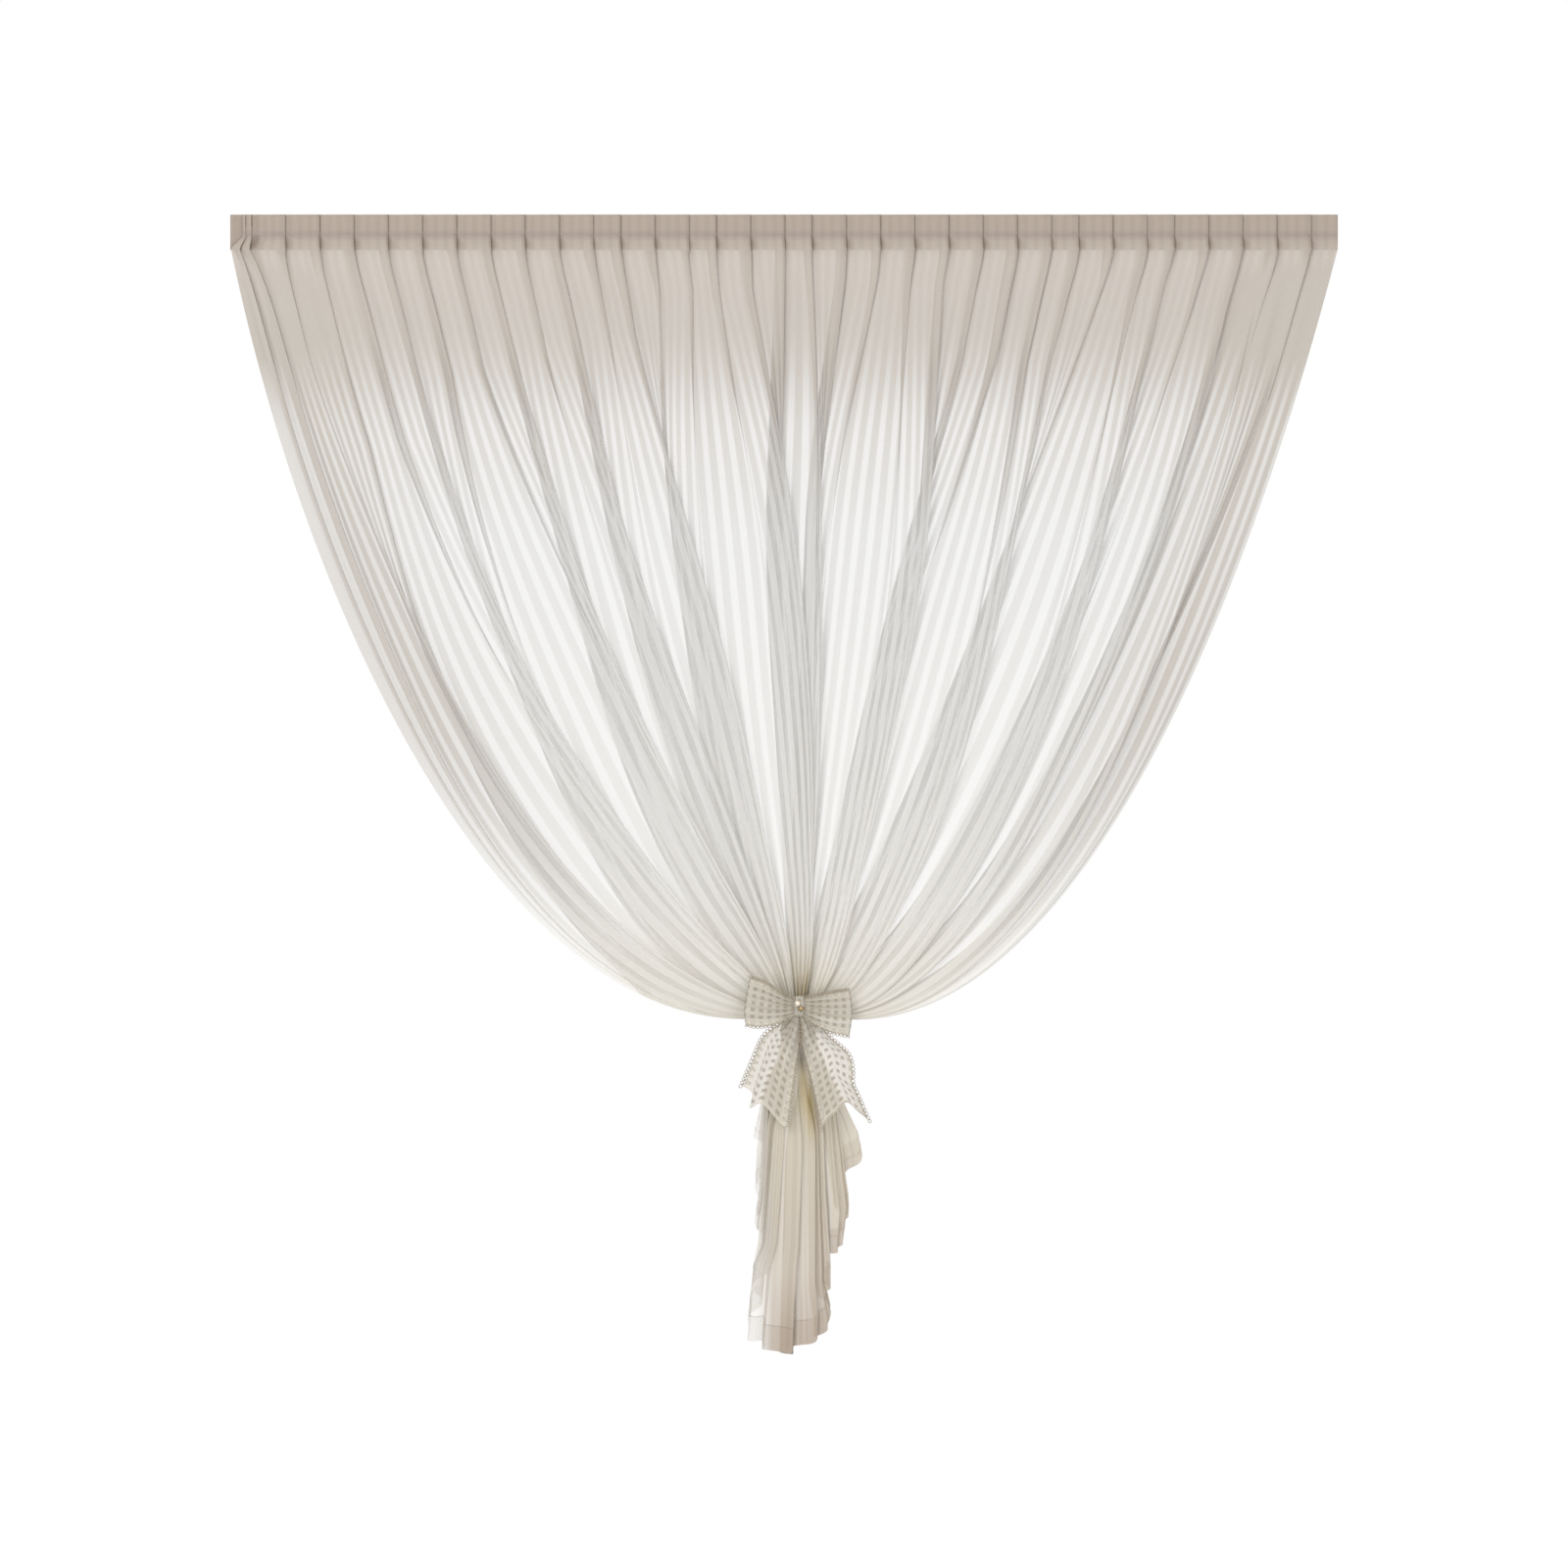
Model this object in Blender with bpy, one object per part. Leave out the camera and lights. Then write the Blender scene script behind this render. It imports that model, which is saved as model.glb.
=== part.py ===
"""A sheer pleated curtain on a self-adhesive hook-and-loop band, drawn together low down by a ribbon bow.

Metres. X runs along the band, the front faces -Y, Z is up. The origin is the middle of the adhesive face,
which lies in the wall plane y = 0.
"""

import math

import bmesh
import bpy
import numpy as np
from mathutils import Matrix

# The fastening band, from the wall forwards
BAND_LENGTH = 1.500
BAND_HEIGHT = 0.048
BAND_THICK = 0.0010
TAPE_HEIGHT = 0.038
FILM_THICK = 0.0005
HOOK_THICK = 0.0018
LOOP_THICK = 0.0020
SEAT_GAP = 0.0003

# The cloth along the band
BARE_LEFT = 0.017
BARE_RIGHT = 0.0014
CORNER_FLARE_LEFT = 0.0155
CORNER_FLARE_RIGHT = 0.0008
PLEATS = 32
FIRST_PANEL = 0.058
LAST_PANEL = 0.035
PLEAT_OVERLAP = 0.014
CLOTH_THICK = 0.0011
STITCH_DROP = 0.028
HEADER_DEPTH = 0.0045
OPEN_HEADER_DEPTH = 0.0068

# The fall of the cloth from the band to the neck
NECK_X = 0.020
NECK_DROP = 1.0845
NECK_HEIGHT = 0.020
NECK_HALF_WIDTH = 0.024
NECK_HALF_DEPTH = 0.017
NECK_FROM_WALL = 0.005
FOLD_DEPTH = 0.021
TOP_PULL_LEFT = 0.108
TOP_FALL_LEFT = 0.526
LOW_REACH_LEFT = 0.349
LOW_SAG_LEFT = 0.061
TOP_PULL_RIGHT = 0.090
TOP_FALL_RIGHT = 0.349
LOW_REACH_RIGHT = 0.371
LOW_SAG_RIGHT = 0.077
SAG_GROWTH = 1.6
PULL_SPREAD = 2.2
PANEL_BELLY = 0.0030
GATHER_ALONG = 0.45
PACKED_ALONG = (0.80, 0.98)

# The tail below the neck. Each side fold is (share of the half width, reach from the neck's middle, hem drop)
TAIL_DROP = 0.434
TAIL_LEAN = -0.012
TAIL_FROM_WALL = 0.009
LAYER_STEP = 0.0070
TAIL_RIPPLE = 0.0045
RIPPLE_ROOM = 0.4
LEVEL_ALONG = 0.16
LOOSE_ALONG = 0.09
OPEN_ALONG = 0.30
RIPPLE_ALONG = 0.18
HANG_ALONG = 0.42
NUDGE = 0.01
TAIL_FOLDS_LEFT = (
    (0.30, 0.058, 0.414),
    (0.52, 0.028, 0.289),
    (0.70, 0.054, 0.251),
    (0.86, 0.030, 0.165),
    (1.00, 0.060, 0.142),
)
TAIL_FOLDS_RIGHT = (
    (0.30, 0.046, 0.385),
    (0.52, 0.022, 0.311),
    (0.70, 0.062, 0.284),
    (0.86, 0.036, 0.225),
    (1.00, 0.084, 0.171),
)

# How finely the cloth is drawn, and how far the folds fill up on their inner side
LOOSE_FILL = 0.45
SOLID_FILL = 0.86
CLIPPED_TIP = 0.8
HEADER_ROWS = (BAND_HEIGHT / 2, BAND_HEIGHT / 2 - STITCH_DROP, -BAND_HEIGHT / 2)
FAN_ROWS = (0.05, 0.12, 0.21, 0.31, 0.41, 0.51, 0.61, 0.71, 0.80, 0.88, 0.94, 0.98, 1.0)
TAIL_ROWS = (0.0, 0.05, 0.10, 0.14, 0.18, 0.23, 0.29, 0.42, 0.60, 0.80, 1.0)
BELLY_ROWS = ((2, 6), (9, 14))

# The ribbon and its bow. A foot is (sideways, down) from the bow's middle
RIBBON_THICK = 0.0012
RING_HEIGHT = 0.014
RING_THICK = 0.0016
BOW_RISE = 0.012
BOW_GAP = 0.0010
PINCH_HALF_WIDTH = 0.013
PINCH_HALF_HEIGHT = 0.021
PINCH_DEPTH = 0.015
LOOP_ROOT = 0.004
LOOP_ROOT_HALF_HEIGHT = 0.0115
LOOP_REACH = 0.070
LOOP_HALF_HEIGHT = 0.033
LOOP_TILT = 0.008
LOOP_PUFF = 0.011
LOOP_GATHER = 0.0016
LEFT_INNER_FOOT = (0.014, 0.157)
LEFT_OUTER_FOOT = (0.079, 0.104)
RIGHT_INNER_FOOT = (0.030, 0.166)
RIGHT_OUTER_FOOT = (0.097, 0.151)
END_FORK = 0.022
END_RIPPLE = 0.0030
END_FORWARD = 0.006
PIN_RIGHT = 0.0028
PIN_DOWN = 0.0010
PEARL_LEFT = 0.0018
PEARL_UP = 0.0058
PEARL_DIAMETER = 0.0085
PIN_HEAD_DIAMETER = 0.0075
PIN_DIAMETER = 0.0010
PIN_LENGTH = 0.010
PIN_HOLE = 0.0018

HALF_BAND = BAND_LENGTH / 2
BAND_FRONT = FILM_THICK + HOOK_THICK + LOOP_THICK + BAND_THICK + 3 * SEAT_GAP
CLOTH_LEFT = -HALF_BAND + BARE_LEFT
CLOTH_RIGHT = HALF_BAND - BARE_RIGHT
PLEAT_PITCH = (CLOTH_RIGHT - CLOTH_LEFT - FIRST_PANEL - LAST_PANEL) / (PLEATS - 1)
CLOTH_BACK = -(BAND_FRONT + SEAT_GAP)
NECK_TOP = BAND_HEIGHT / 2 - NECK_DROP
NECK_BOTTOM = NECK_TOP - NECK_HEIGHT
NECK_Y = -(NECK_FROM_WALL + NECK_HALF_DEPTH)
NECK_FRONT = NECK_Y - NECK_HALF_DEPTH
BOW_BACK = NECK_FRONT - BOW_GAP
BOW_Z = NECK_TOP + BOW_RISE
PIN_AT = (NECK_X + PIN_RIGHT, BOW_Z - PIN_DOWN)
PEARL_AT = (NECK_X - PEARL_LEFT, BOW_Z + PEARL_UP)


def clear_scene():
    for obj in list(bpy.data.objects):
        bpy.data.objects.remove(obj)


def material(name, colour, roughness, metallic=0.0):
    made = bpy.data.materials.new(name)
    made.use_nodes = True
    shader = made.node_tree.nodes["Principled BSDF"]
    shader.inputs["Base Color"].default_value = (*colour, 1.0)
    shader.inputs["Roughness"].default_value = roughness
    shader.inputs["Metallic"].default_value = metallic
    return made


def add_object(name, mesh, finish, smooth=True):
    mesh.materials.append(finish)
    if smooth:
        mesh.shade_smooth()
    obj = bpy.data.objects.new(name, mesh)
    bpy.context.collection.objects.link(obj)
    return obj


def slab_mesh(name, front, back):
    """A closed thin solid between two grids of points, rows by columns, whose front shows towards -Y."""
    rows, columns = front.shape[:2]
    points = np.concatenate([front.reshape(-1, 3), back.reshape(-1, 3)])
    behind = rows * columns

    def at(row, column):
        return row * columns + column

    faces = []
    for row in range(rows - 1):
        for column in range(columns - 1):
            a, b = at(row, column), at(row, column + 1)
            c, d = at(row + 1, column + 1), at(row + 1, column)
            faces.append((a, d, c, b))
            faces.append((a + behind, b + behind, c + behind, d + behind))
    rim = [at(0, column) for column in range(columns)]
    rim += [at(row, columns - 1) for row in range(1, rows)]
    rim += [at(rows - 1, column) for column in range(columns - 2, -1, -1)]
    rim += [at(row, 0) for row in range(rows - 2, 0, -1)]
    for here, there in zip(rim, rim[1:] + rim[:1]):
        faces.append((here, there, there + behind, here + behind))
    mesh = bpy.data.meshes.new(name)
    mesh.from_pydata([tuple(p) for p in points], [], faces)
    mesh.validate()
    return mesh


def unit(vectors):
    length = np.linalg.norm(vectors, axis=-1, keepdims=True)
    return vectors / np.maximum(length, 1e-12)


def smooth_step(low, high, value):
    along = np.clip((value - low) / (high - low), 0.0, 1.0)
    return along * along * (3 - 2 * along)


def box_strip(name, low, high, finish):
    """A flat strip of tape between two opposite corners."""
    made = bmesh.new()
    bmesh.ops.create_cube(made, size=1.0)
    middle = [(a + b) / 2 for a, b in zip(low, high)]
    for vertex in made.verts:
        for axis in range(3):
            vertex.co[axis] = middle[axis] + vertex.co[axis] * (high[axis] - low[axis])
    mesh = bpy.data.meshes.new(name)
    made.to_mesh(mesh)
    made.free()
    return add_object(name, mesh, finish, smooth=False)


def fastening_band(finishes):
    """The adhesive film, the hook tape, the loop tape and the woven heading band, one in front of the other."""
    layers = (
        ("adhesive_film", FILM_THICK, TAPE_HEIGHT, "adhesive"),
        ("hook_tape", HOOK_THICK, TAPE_HEIGHT, "hook"),
        ("loop_tape", LOOP_THICK, TAPE_HEIGHT, "loop"),
        ("heading_band", BAND_THICK, BAND_HEIGHT, "band"),
    )
    face = 0.0
    for name, thick, height, finish in layers:
        low = (-HALF_BAND, face - thick, -height / 2)
        high = (HALF_BAND, face, height / 2)
        box_strip(name, low, high, finishes[finish])
        face -= thick + SEAT_GAP


def fold_columns():
    """Every fold line of the cloth from left to right: its place on the band and whether it is an edge, a
    front fold or the back fold tucked behind it."""
    columns = [(CLOTH_LEFT, "edge")]
    for pleat in range(PLEATS):
        fold = CLOTH_LEFT + FIRST_PANEL + pleat * PLEAT_PITCH
        columns += [(fold, "front"), (fold - PLEAT_OVERLAP, "back")]
    return columns + [(CLOTH_RIGHT, "edge")]


def share_of(place):
    """How far out a fold lies, from -1 at the left edge to 1 at the right, with 0 above the neck."""
    left_edge = CLOTH_LEFT - CORNER_FLARE_LEFT
    right_edge = CLOTH_RIGHT - CORNER_FLARE_RIGHT
    half = NECK_X - left_edge if place < NECK_X else right_edge - NECK_X
    return max(-1.0, min(1.0, (place - NECK_X) / half))


def fall_line(place, share, along):
    """A point of one fold line between the band and the neck, as (x, z). The outer lines hang like a chain
    and the inner ones run straight to the neck."""
    side = -1.0 if share < 0 else 1.0
    out = abs(share)
    top_pull = TOP_PULL_LEFT if share < 0 else TOP_PULL_RIGHT
    top_fall = TOP_FALL_LEFT if share < 0 else TOP_FALL_RIGHT
    low_reach = LOW_REACH_LEFT if share < 0 else LOW_REACH_RIGHT
    low_sag = LOW_SAG_LEFT if share < 0 else LOW_SAG_RIGHT
    start = np.array([place, -BAND_HEIGHT / 2])
    end = np.array([NECK_X + share * NECK_HALF_WIDTH, NECK_TOP])
    third = (end - start) / 3
    hang = out**SAG_GROWTH
    pull = top_pull * math.tanh(PULL_SPREAD * out) / math.tanh(PULL_SPREAD)
    upper = np.array([
        place - side * pull,
        (start + third)[1] * (1 - hang) + (start[1] - top_fall) * hang,
    ])
    lower = np.array([
        (end - third)[0] * (1 - hang) + (end[0] + side * low_reach * out) * hang,
        (end - third)[1] * (1 - hang) + (end[1] - low_sag) * hang,
    ])
    rest = 1 - along
    return (
        rest**3 * start + 3 * rest**2 * along * upper + 3 * rest * along**2 * lower + along**3 * end
    )


def tail_fold(share):
    """Where the tail's big side folds carry a share of the cloth: reach from the neck, distance in front of
    the tail's back, how deep a small pleat can stand there, and how far the hem drops."""
    folds = TAIL_FOLDS_LEFT if share < 0 else TAIL_FOLDS_RIGHT
    side = -1.0 if share < 0 else 1.0
    out = abs(share)
    before, reach_before, drop_before = 0.0, 0.0, TAIL_DROP
    for step, (turn, reach, drop) in enumerate(folds):
        if out <= turn or step == len(folds) - 1:
            break
        before, reach_before, drop_before = turn, reach, drop
    within = min(1.0, (out - before) / (turn - before))
    hem = drop_before + (drop - drop_before) * within
    pleat_share = PLEAT_PITCH / HALF_BAND
    room = abs(reach - reach_before) * pleat_share / (turn - before)
    if step:
        across = reach_before + (reach - reach_before) * (1 - math.cos(math.pi * within)) / 2
        level = step + within + math.sin(2 * math.pi * within) / (2 * math.pi)
        free = math.sin(math.pi * within) ** 2
    else:
        across = reach * math.sin(math.pi / 2 * within)
        level = 1 - math.cos(math.pi / 2 * within)
        free = math.cos(math.pi / 2 * within) ** 2
    return side * across, LAYER_STEP * level, min(TAIL_RIPPLE, RIPPLE_ROOM * room) * free, hem


def swing(kind):
    """-1 for a front fold, 1 for a back fold and 0 for an edge."""
    return {"front": -1.0, "back": 1.0, "edge": 0.0}[kind]


def header_point(place, kind, height):
    """A point of the pleats stitched flat along the band, which open a little at its lower edge."""
    back = CLOTH_BACK - CLOTH_THICK / 2
    deep = OPEN_HEADER_DEPTH if height <= -BAND_HEIGHT / 2 else HEADER_DEPTH
    return np.array([place, back - deep * (1 - swing(kind)) / 2, height])


def fan_point(place, share, kind, along):
    """A point of the open pleats, a share of the way down from the band to the neck."""
    x, z = fall_line(place, share, along)
    round_off = math.sqrt(max(0.0, 1 - share * share))
    opening = smooth_step(0.0, GATHER_ALONG, along)
    deep = OPEN_HEADER_DEPTH + (FOLD_DEPTH - OPEN_HEADER_DEPTH) * opening
    open_y = CLOTH_BACK - CLOTH_THICK / 2 - deep * (1 - swing(kind)) / 2
    neck_y = NECK_Y + NECK_HALF_DEPTH * round_off * swing(kind)
    gathered = smooth_step(GATHER_ALONG, 1.0, along)
    return np.array([x, open_y * (1 - gathered) + neck_y * gathered, z])


def tail_curve(share, along):
    """The tail's section without its small pleats, as (x, y): bunched below the neck, then laid in big side
    folds whose outer layers come forward."""
    across, level, _, _ = tail_fold(share)
    level_in = smooth_step(0.0, LEVEL_ALONG, along)
    spread = smooth_step(LOOSE_ALONG, OPEN_ALONG, along)
    lean = TAIL_LEAN * along * (1 - abs(share))
    x = NECK_X + share * NECK_HALF_WIDTH * (1 - spread) + (across + lean) * spread
    return np.array([x, NECK_Y * (1 - level_in) - (TAIL_FROM_WALL + level) * level_in])


def tail_point(place, share, kind, along):
    """A point of the tail, a share of the way down from the neck to the hem. The back folds, tucked behind
    the front ones in the neck, move out between them."""
    opened = PLEAT_OVERLAP + PLEAT_PITCH / 2 if kind == "back" else 0.0
    hem_share = share_of(place + opened) if kind != "edge" else share
    loose = smooth_step(0.0, LOOSE_ALONG, along)
    if kind == "back":
        share = share_of(place + opened * loose)
    one = tail_curve(max(-1.0, share - NUDGE), along)
    two = tail_curve(min(1.0, share + NUDGE), along)
    run = (two - one) / np.linalg.norm(two - one)
    backwards = np.array([-run[1], run[0]])
    round_off = math.sqrt(max(0.0, 1 - share * share))
    swell = np.array([0.0, NECK_HALF_DEPTH * round_off * (1 - loose)])
    ripple = backwards * tail_fold(share)[2] / 2 * smooth_step(RIPPLE_ALONG, HANG_ALONG, along)
    x, y = tail_curve(share, along) + (swell + ripple) * swing(kind)
    return np.array([x, y, NECK_BOTTOM - tail_fold(hem_share)[3] * along])


def cloth_lines():
    """The middle of the cloth as a grid, rows from the top edge to the hem by fold columns, and how tightly
    the folds are packed in each row, from 0 for loose cloth to 1 in the neck."""
    columns = fold_columns()
    grid, packed = [], []
    for height in HEADER_ROWS:
        row = []
        for place, kind in columns:
            low = height < 0 and kind == "edge"
            flare = (CORNER_FLARE_LEFT if place < 0 else -CORNER_FLARE_RIGHT) * low
            row.append(header_point(place, kind, height) - np.array([flare, 0, 0]))
        grid.append(row)
        packed.append(0.0)
    for along in FAN_ROWS:
        row = []
        for place, kind in columns:
            share = share_of(place)
            if kind == "edge":
                share = -1.0 if place < 0 else 1.0
                flare = CORNER_FLARE_LEFT if place < 0 else CORNER_FLARE_RIGHT
                place = place + share * abs(flare) * (1 if share < 0 else -1)
            row.append(fan_point(place, share, kind, along))
        grid.append(row)
        packed.append(float(smooth_step(*PACKED_ALONG, along)))
    for along in TAIL_ROWS:
        row = []
        for place, kind in columns:
            share = share_of(place) if kind != "edge" else math.copysign(1.0, place)
            row.append(tail_point(place, share, kind, along))
        grid.append(row)
        packed.append(float(1 - smooth_step(0.0, LOOSE_ALONG, along)))
    return np.array(grid), np.array(packed)


def cloth_faces(grid, packed):
    """The cloth's two sides. At a fold the outer side turns round its tip, and the inner side stops where the
    two layers part, so that no wall is thinner than the cloth. In the neck the folds close up to a solid."""
    flow = np.empty_like(grid)
    flow[1:-1] = grid[2:] - grid[:-2]
    flow[0] = grid[1] - grid[0]
    flow[-len(TAIL_ROWS) - 1:] = (0.0, 0.0, -1.0)
    steps = grid[:, 1:] - grid[:, :-1]
    before = np.concatenate([steps[:, :1], steps], axis=1)
    after = np.concatenate([steps, steps[:, -1:]], axis=1)
    flow = unit(flow)
    mitre = unit(np.cross(flow, before)) + unit(np.cross(flow, after))
    size = np.linalg.norm(mitre, axis=-1)
    facing = unit(mitre)
    natural = CLOTH_THICK / np.maximum(size, 1e-6)
    shortest = np.minimum(np.linalg.norm(before, axis=-1), np.linalg.norm(after, axis=-1))
    outer = np.minimum(natural, CLIPPED_TIP * CLOTH_THICK)
    tight = packed[:, None]
    room = shortest * (LOOSE_FILL + (SOLID_FILL - LOOSE_FILL) * tight)
    inner = np.minimum(np.maximum(natural, SOLID_FILL * shortest * tight), room)
    for side_edge in (0, -1):
        outer[:, side_edge] = inner[:, side_edge] = CLOTH_THICK / 2
    turned = np.einsum("rcx,rcx->rc", facing, before - after)
    front_outer = turned > 0
    front = grid + facing * np.where(front_outer, outer, inner)[..., None]
    back = grid - facing * np.where(front_outer, inner, outer)[..., None]
    return front, back


def with_panel_middles(front, back, columns):
    """Adds one more line down the middle of each wide panel, bowed forwards a little."""
    new_front, new_back = [front[:, 0]], [back[:, 0]]
    rows = np.arange(len(front))
    fan = smooth_step(*BELLY_ROWS[0], rows) * (1 - smooth_step(*BELLY_ROWS[1], rows))
    for column in range(1, front.shape[1]):
        panel = columns[column - 1][1] != "front"
        if panel:
            middle_front = (front[:, column - 1] + front[:, column]) / 2
            middle_back = (back[:, column - 1] + back[:, column]) / 2
            bow = np.array([0.0, -PANEL_BELLY, 0.0]) * fan[:, None]
            new_front.append(middle_front + bow)
            new_back.append(middle_back + bow)
        new_front.append(front[:, column])
        new_back.append(back[:, column])
    return np.stack(new_front, axis=1), np.stack(new_back, axis=1)


def curtain_panel(finish):
    columns = fold_columns()
    grid, packed = cloth_lines()
    front, back = cloth_faces(grid, packed)
    front, back = with_panel_middles(front, back, columns)
    return add_object("curtain_panel", slab_mesh("curtain_panel", front, back), finish)


def ribbon_slab(name, grid):
    """A ribbon of even thickness round a grid of points, rows by columns."""
    down = np.gradient(grid, axis=0)
    across = np.gradient(grid, axis=1)
    facing = unit(np.cross(down, across))
    half = RIBBON_THICK / 2
    return slab_mesh(name, grid + facing * half, grid - facing * half)


def bow_loop(side):
    """One loop: out from the pinch along the front, round its end and back behind, fanned from narrow to
    full width, with gathers that start at the pinch. The left loop tilts up and the right one down."""
    steps, lines = 21, 9
    grid = np.empty((lines, steps, 3))
    middle = BOW_BACK - PINCH_DEPTH * 0.55
    for step in range(steps):
        turn = math.pi * step / (steps - 1)
        out = math.sin(turn) ** 0.75
        reach = LOOP_ROOT + (LOOP_REACH - LOOP_ROOT) * out
        height = LOOP_ROOT_HALF_HEIGHT + (LOOP_HALF_HEIGHT - LOOP_ROOT_HALF_HEIGHT) * out
        depth = LOOP_PUFF / 2 * math.cos(turn) * (0.35 + 0.65 * math.sin(turn))
        for line in range(lines):
            up = 1 - 2 * line / (lines - 1)
            gather = LOOP_GATHER * math.cos(2.5 * math.pi * up) * math.sin(turn) * math.cos(turn)
            z = BOW_Z + height * up - side * LOOP_TILT * out
            grid[line, step] = (NECK_X + side * reach, middle - depth - gather, z)
    return ribbon_slab("loop", grid if side > 0 else grid[:, ::-1])


def bow_end(side):
    """One free end of the ribbon, from the pinch down to a swallow-tailed cut."""
    rows, columns = 9, 7
    middle = np.array([NECK_X, BOW_Z])
    outwards = np.array([side, -1.0])
    inner_foot = middle + outwards * (LEFT_INNER_FOOT if side < 0 else RIGHT_INNER_FOOT)
    outer_foot = middle + outwards * (LEFT_OUTER_FOOT if side < 0 else RIGHT_OUTER_FOOT)
    top = np.array([NECK_X, BOW_Z - PINCH_HALF_HEIGHT * 0.35])
    wide = np.array([side * PINCH_HALF_WIDTH * 0.75, 0.0])
    grid = np.empty((rows, columns, 3))
    for row in range(rows):
        along = row / (rows - 1)
        open_out = math.sin(math.pi / 2 * along) ** 0.8
        for column in range(columns):
            across = column / (columns - 1)
            inner = top + (inner_foot - top) * along
            outer = top + wide + (outer_foot - top - wide) * np.array([open_out, along])
            x, z = inner + (outer - inner) * across
            z += END_FORK * (1 - abs(2 * across - 1)) * along
            ripple = END_RIPPLE * math.sin(2 * math.pi * across) * math.sin(math.pi / 2 * along)
            grid[row, column] = (x, BOW_BACK - PINCH_DEPTH * 0.45 - END_FORWARD * along - ripple, z)
    return ribbon_slab("end", grid if side > 0 else grid[:, ::-1])


def neck_ring():
    """The ribbon's turn round the neck."""
    segments = 32
    inner_x = NECK_HALF_WIDTH + CLOTH_THICK + SEAT_GAP
    inner_y = NECK_HALF_DEPTH + CLOTH_THICK + SEAT_GAP
    middle = (NECK_TOP + NECK_BOTTOM) / 2
    made = bmesh.new()
    rings = []
    for out, up in ((0, 1), (RING_THICK, 1), (RING_THICK, -1), (0, -1)):
        ring = []
        for segment in range(segments):
            turn = 2 * math.pi * segment / segments
            ring.append(made.verts.new((
                NECK_X + (inner_x + out) * math.cos(turn),
                NECK_Y + (inner_y + out) * math.sin(turn),
                middle + up * RING_HEIGHT / 2,
            )))
        rings.append(ring)
    for one, two in zip(rings, rings[1:] + rings[:1]):
        for a in range(segments):
            b = (a + 1) % segments
            made.faces.new((one[a], two[a], two[b], one[b]))
    made.normal_update()
    bmesh.ops.recalc_face_normals(made, faces=made.faces)
    mesh = bpy.data.meshes.new("ring")
    made.to_mesh(mesh)
    made.free()
    return mesh


def dome_mesh(name, at, half_width, half_height, depth, around=24, rings=6):
    """The pinched middle of the bow: an oval pad, flat behind and domed in front."""
    made = bmesh.new()
    loops = []
    for ring in range(rings):
        turn = math.pi / 2 * ring / rings
        size, forward = math.cos(turn), math.sin(turn)
        loops.append([
            made.verts.new((
                at[0] + half_width * size * math.cos(2 * math.pi * k / around),
                at[1] - depth * forward,
                at[2] + half_height * size * math.sin(2 * math.pi * k / around),
            ))
            for k in range(around)
        ])
    tip = made.verts.new((at[0], at[1] - depth, at[2]))
    made.faces.new(loops[0])
    for one, two in zip(loops, loops[1:]):
        for a in range(around):
            b = (a + 1) % around
            made.faces.new((one[a], one[b], two[b], two[a]))
    for a in range(around):
        made.faces.new((loops[-1][a], loops[-1][(a + 1) % around], tip))
    made.normal_update()
    bmesh.ops.recalc_face_normals(made, faces=made.faces)
    mesh = bpy.data.meshes.new(name)
    made.to_mesh(mesh)
    made.free()
    return mesh


def pinch_surface(x, z):
    """The front of the pinched middle at a place, as y."""
    inside = 1 - ((x - NECK_X) / PINCH_HALF_WIDTH) ** 2 - ((z - BOW_Z) / PINCH_HALF_HEIGHT) ** 2
    return BOW_BACK - PINCH_DEPTH * math.sqrt(max(0.0, inside))


def ball_mesh(name, middle, diameter, segments=20, rings=12):
    made = bmesh.new()
    bmesh.ops.create_uvsphere(made, u_segments=segments, v_segments=rings, radius=diameter / 2)
    bmesh.ops.translate(made, vec=middle, verts=made.verts)
    mesh = bpy.data.meshes.new(name)
    made.to_mesh(mesh)
    made.free()
    return mesh


def rod_mesh(name, middle, diameter, length, segments=16):
    """A rod along Y."""
    made = bmesh.new()
    bmesh.ops.create_cone(
        made,
        cap_ends=True,
        segments=segments,
        radius1=diameter / 2,
        radius2=diameter / 2,
        depth=length,
        matrix=Matrix.Translation(middle) @ Matrix.Rotation(math.pi / 2, 4, "X"),
    )
    mesh = bpy.data.meshes.new(name)
    made.to_mesh(mesh)
    made.free()
    return mesh


def tool(name, mesh):
    """A shape that only joins or cuts another one."""
    obj = bpy.data.objects.new(name, mesh)
    bpy.context.collection.objects.link(obj)
    obj.hide_render = True
    obj.display_type = "WIRE"
    obj.hide_set(True)
    return obj


def combine(base, other, operation):
    step = base.modifiers.new(f"{operation.lower()}_{other.name}", "BOOLEAN")
    step.operation = operation
    step.solver = "EXACT"
    step.object = other


def bow_ribbon(finish):
    pinch = dome_mesh(
        "pinch", (NECK_X, BOW_BACK, BOW_Z), PINCH_HALF_WIDTH, PINCH_HALF_HEIGHT, PINCH_DEPTH
    )
    bow = add_object("bow_ribbon", pinch, finish)
    parts = (
        ("ring_part", neck_ring()),
        ("loop_left_part", bow_loop(-1)),
        ("loop_right_part", bow_loop(1)),
        ("end_left_part", bow_end(-1)),
        ("end_right_part", bow_end(1)),
    )
    for name, mesh in parts:
        combine(bow, tool(name, mesh), "UNION")
    x, z = PIN_AT
    front = pinch_surface(x, z)
    hole = rod_mesh("hole", (x, front, z), PIN_HOLE, 2 * (PIN_LENGTH + SEAT_GAP))
    combine(bow, tool("pin_hole", hole), "DIFFERENCE")
    return bow


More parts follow.
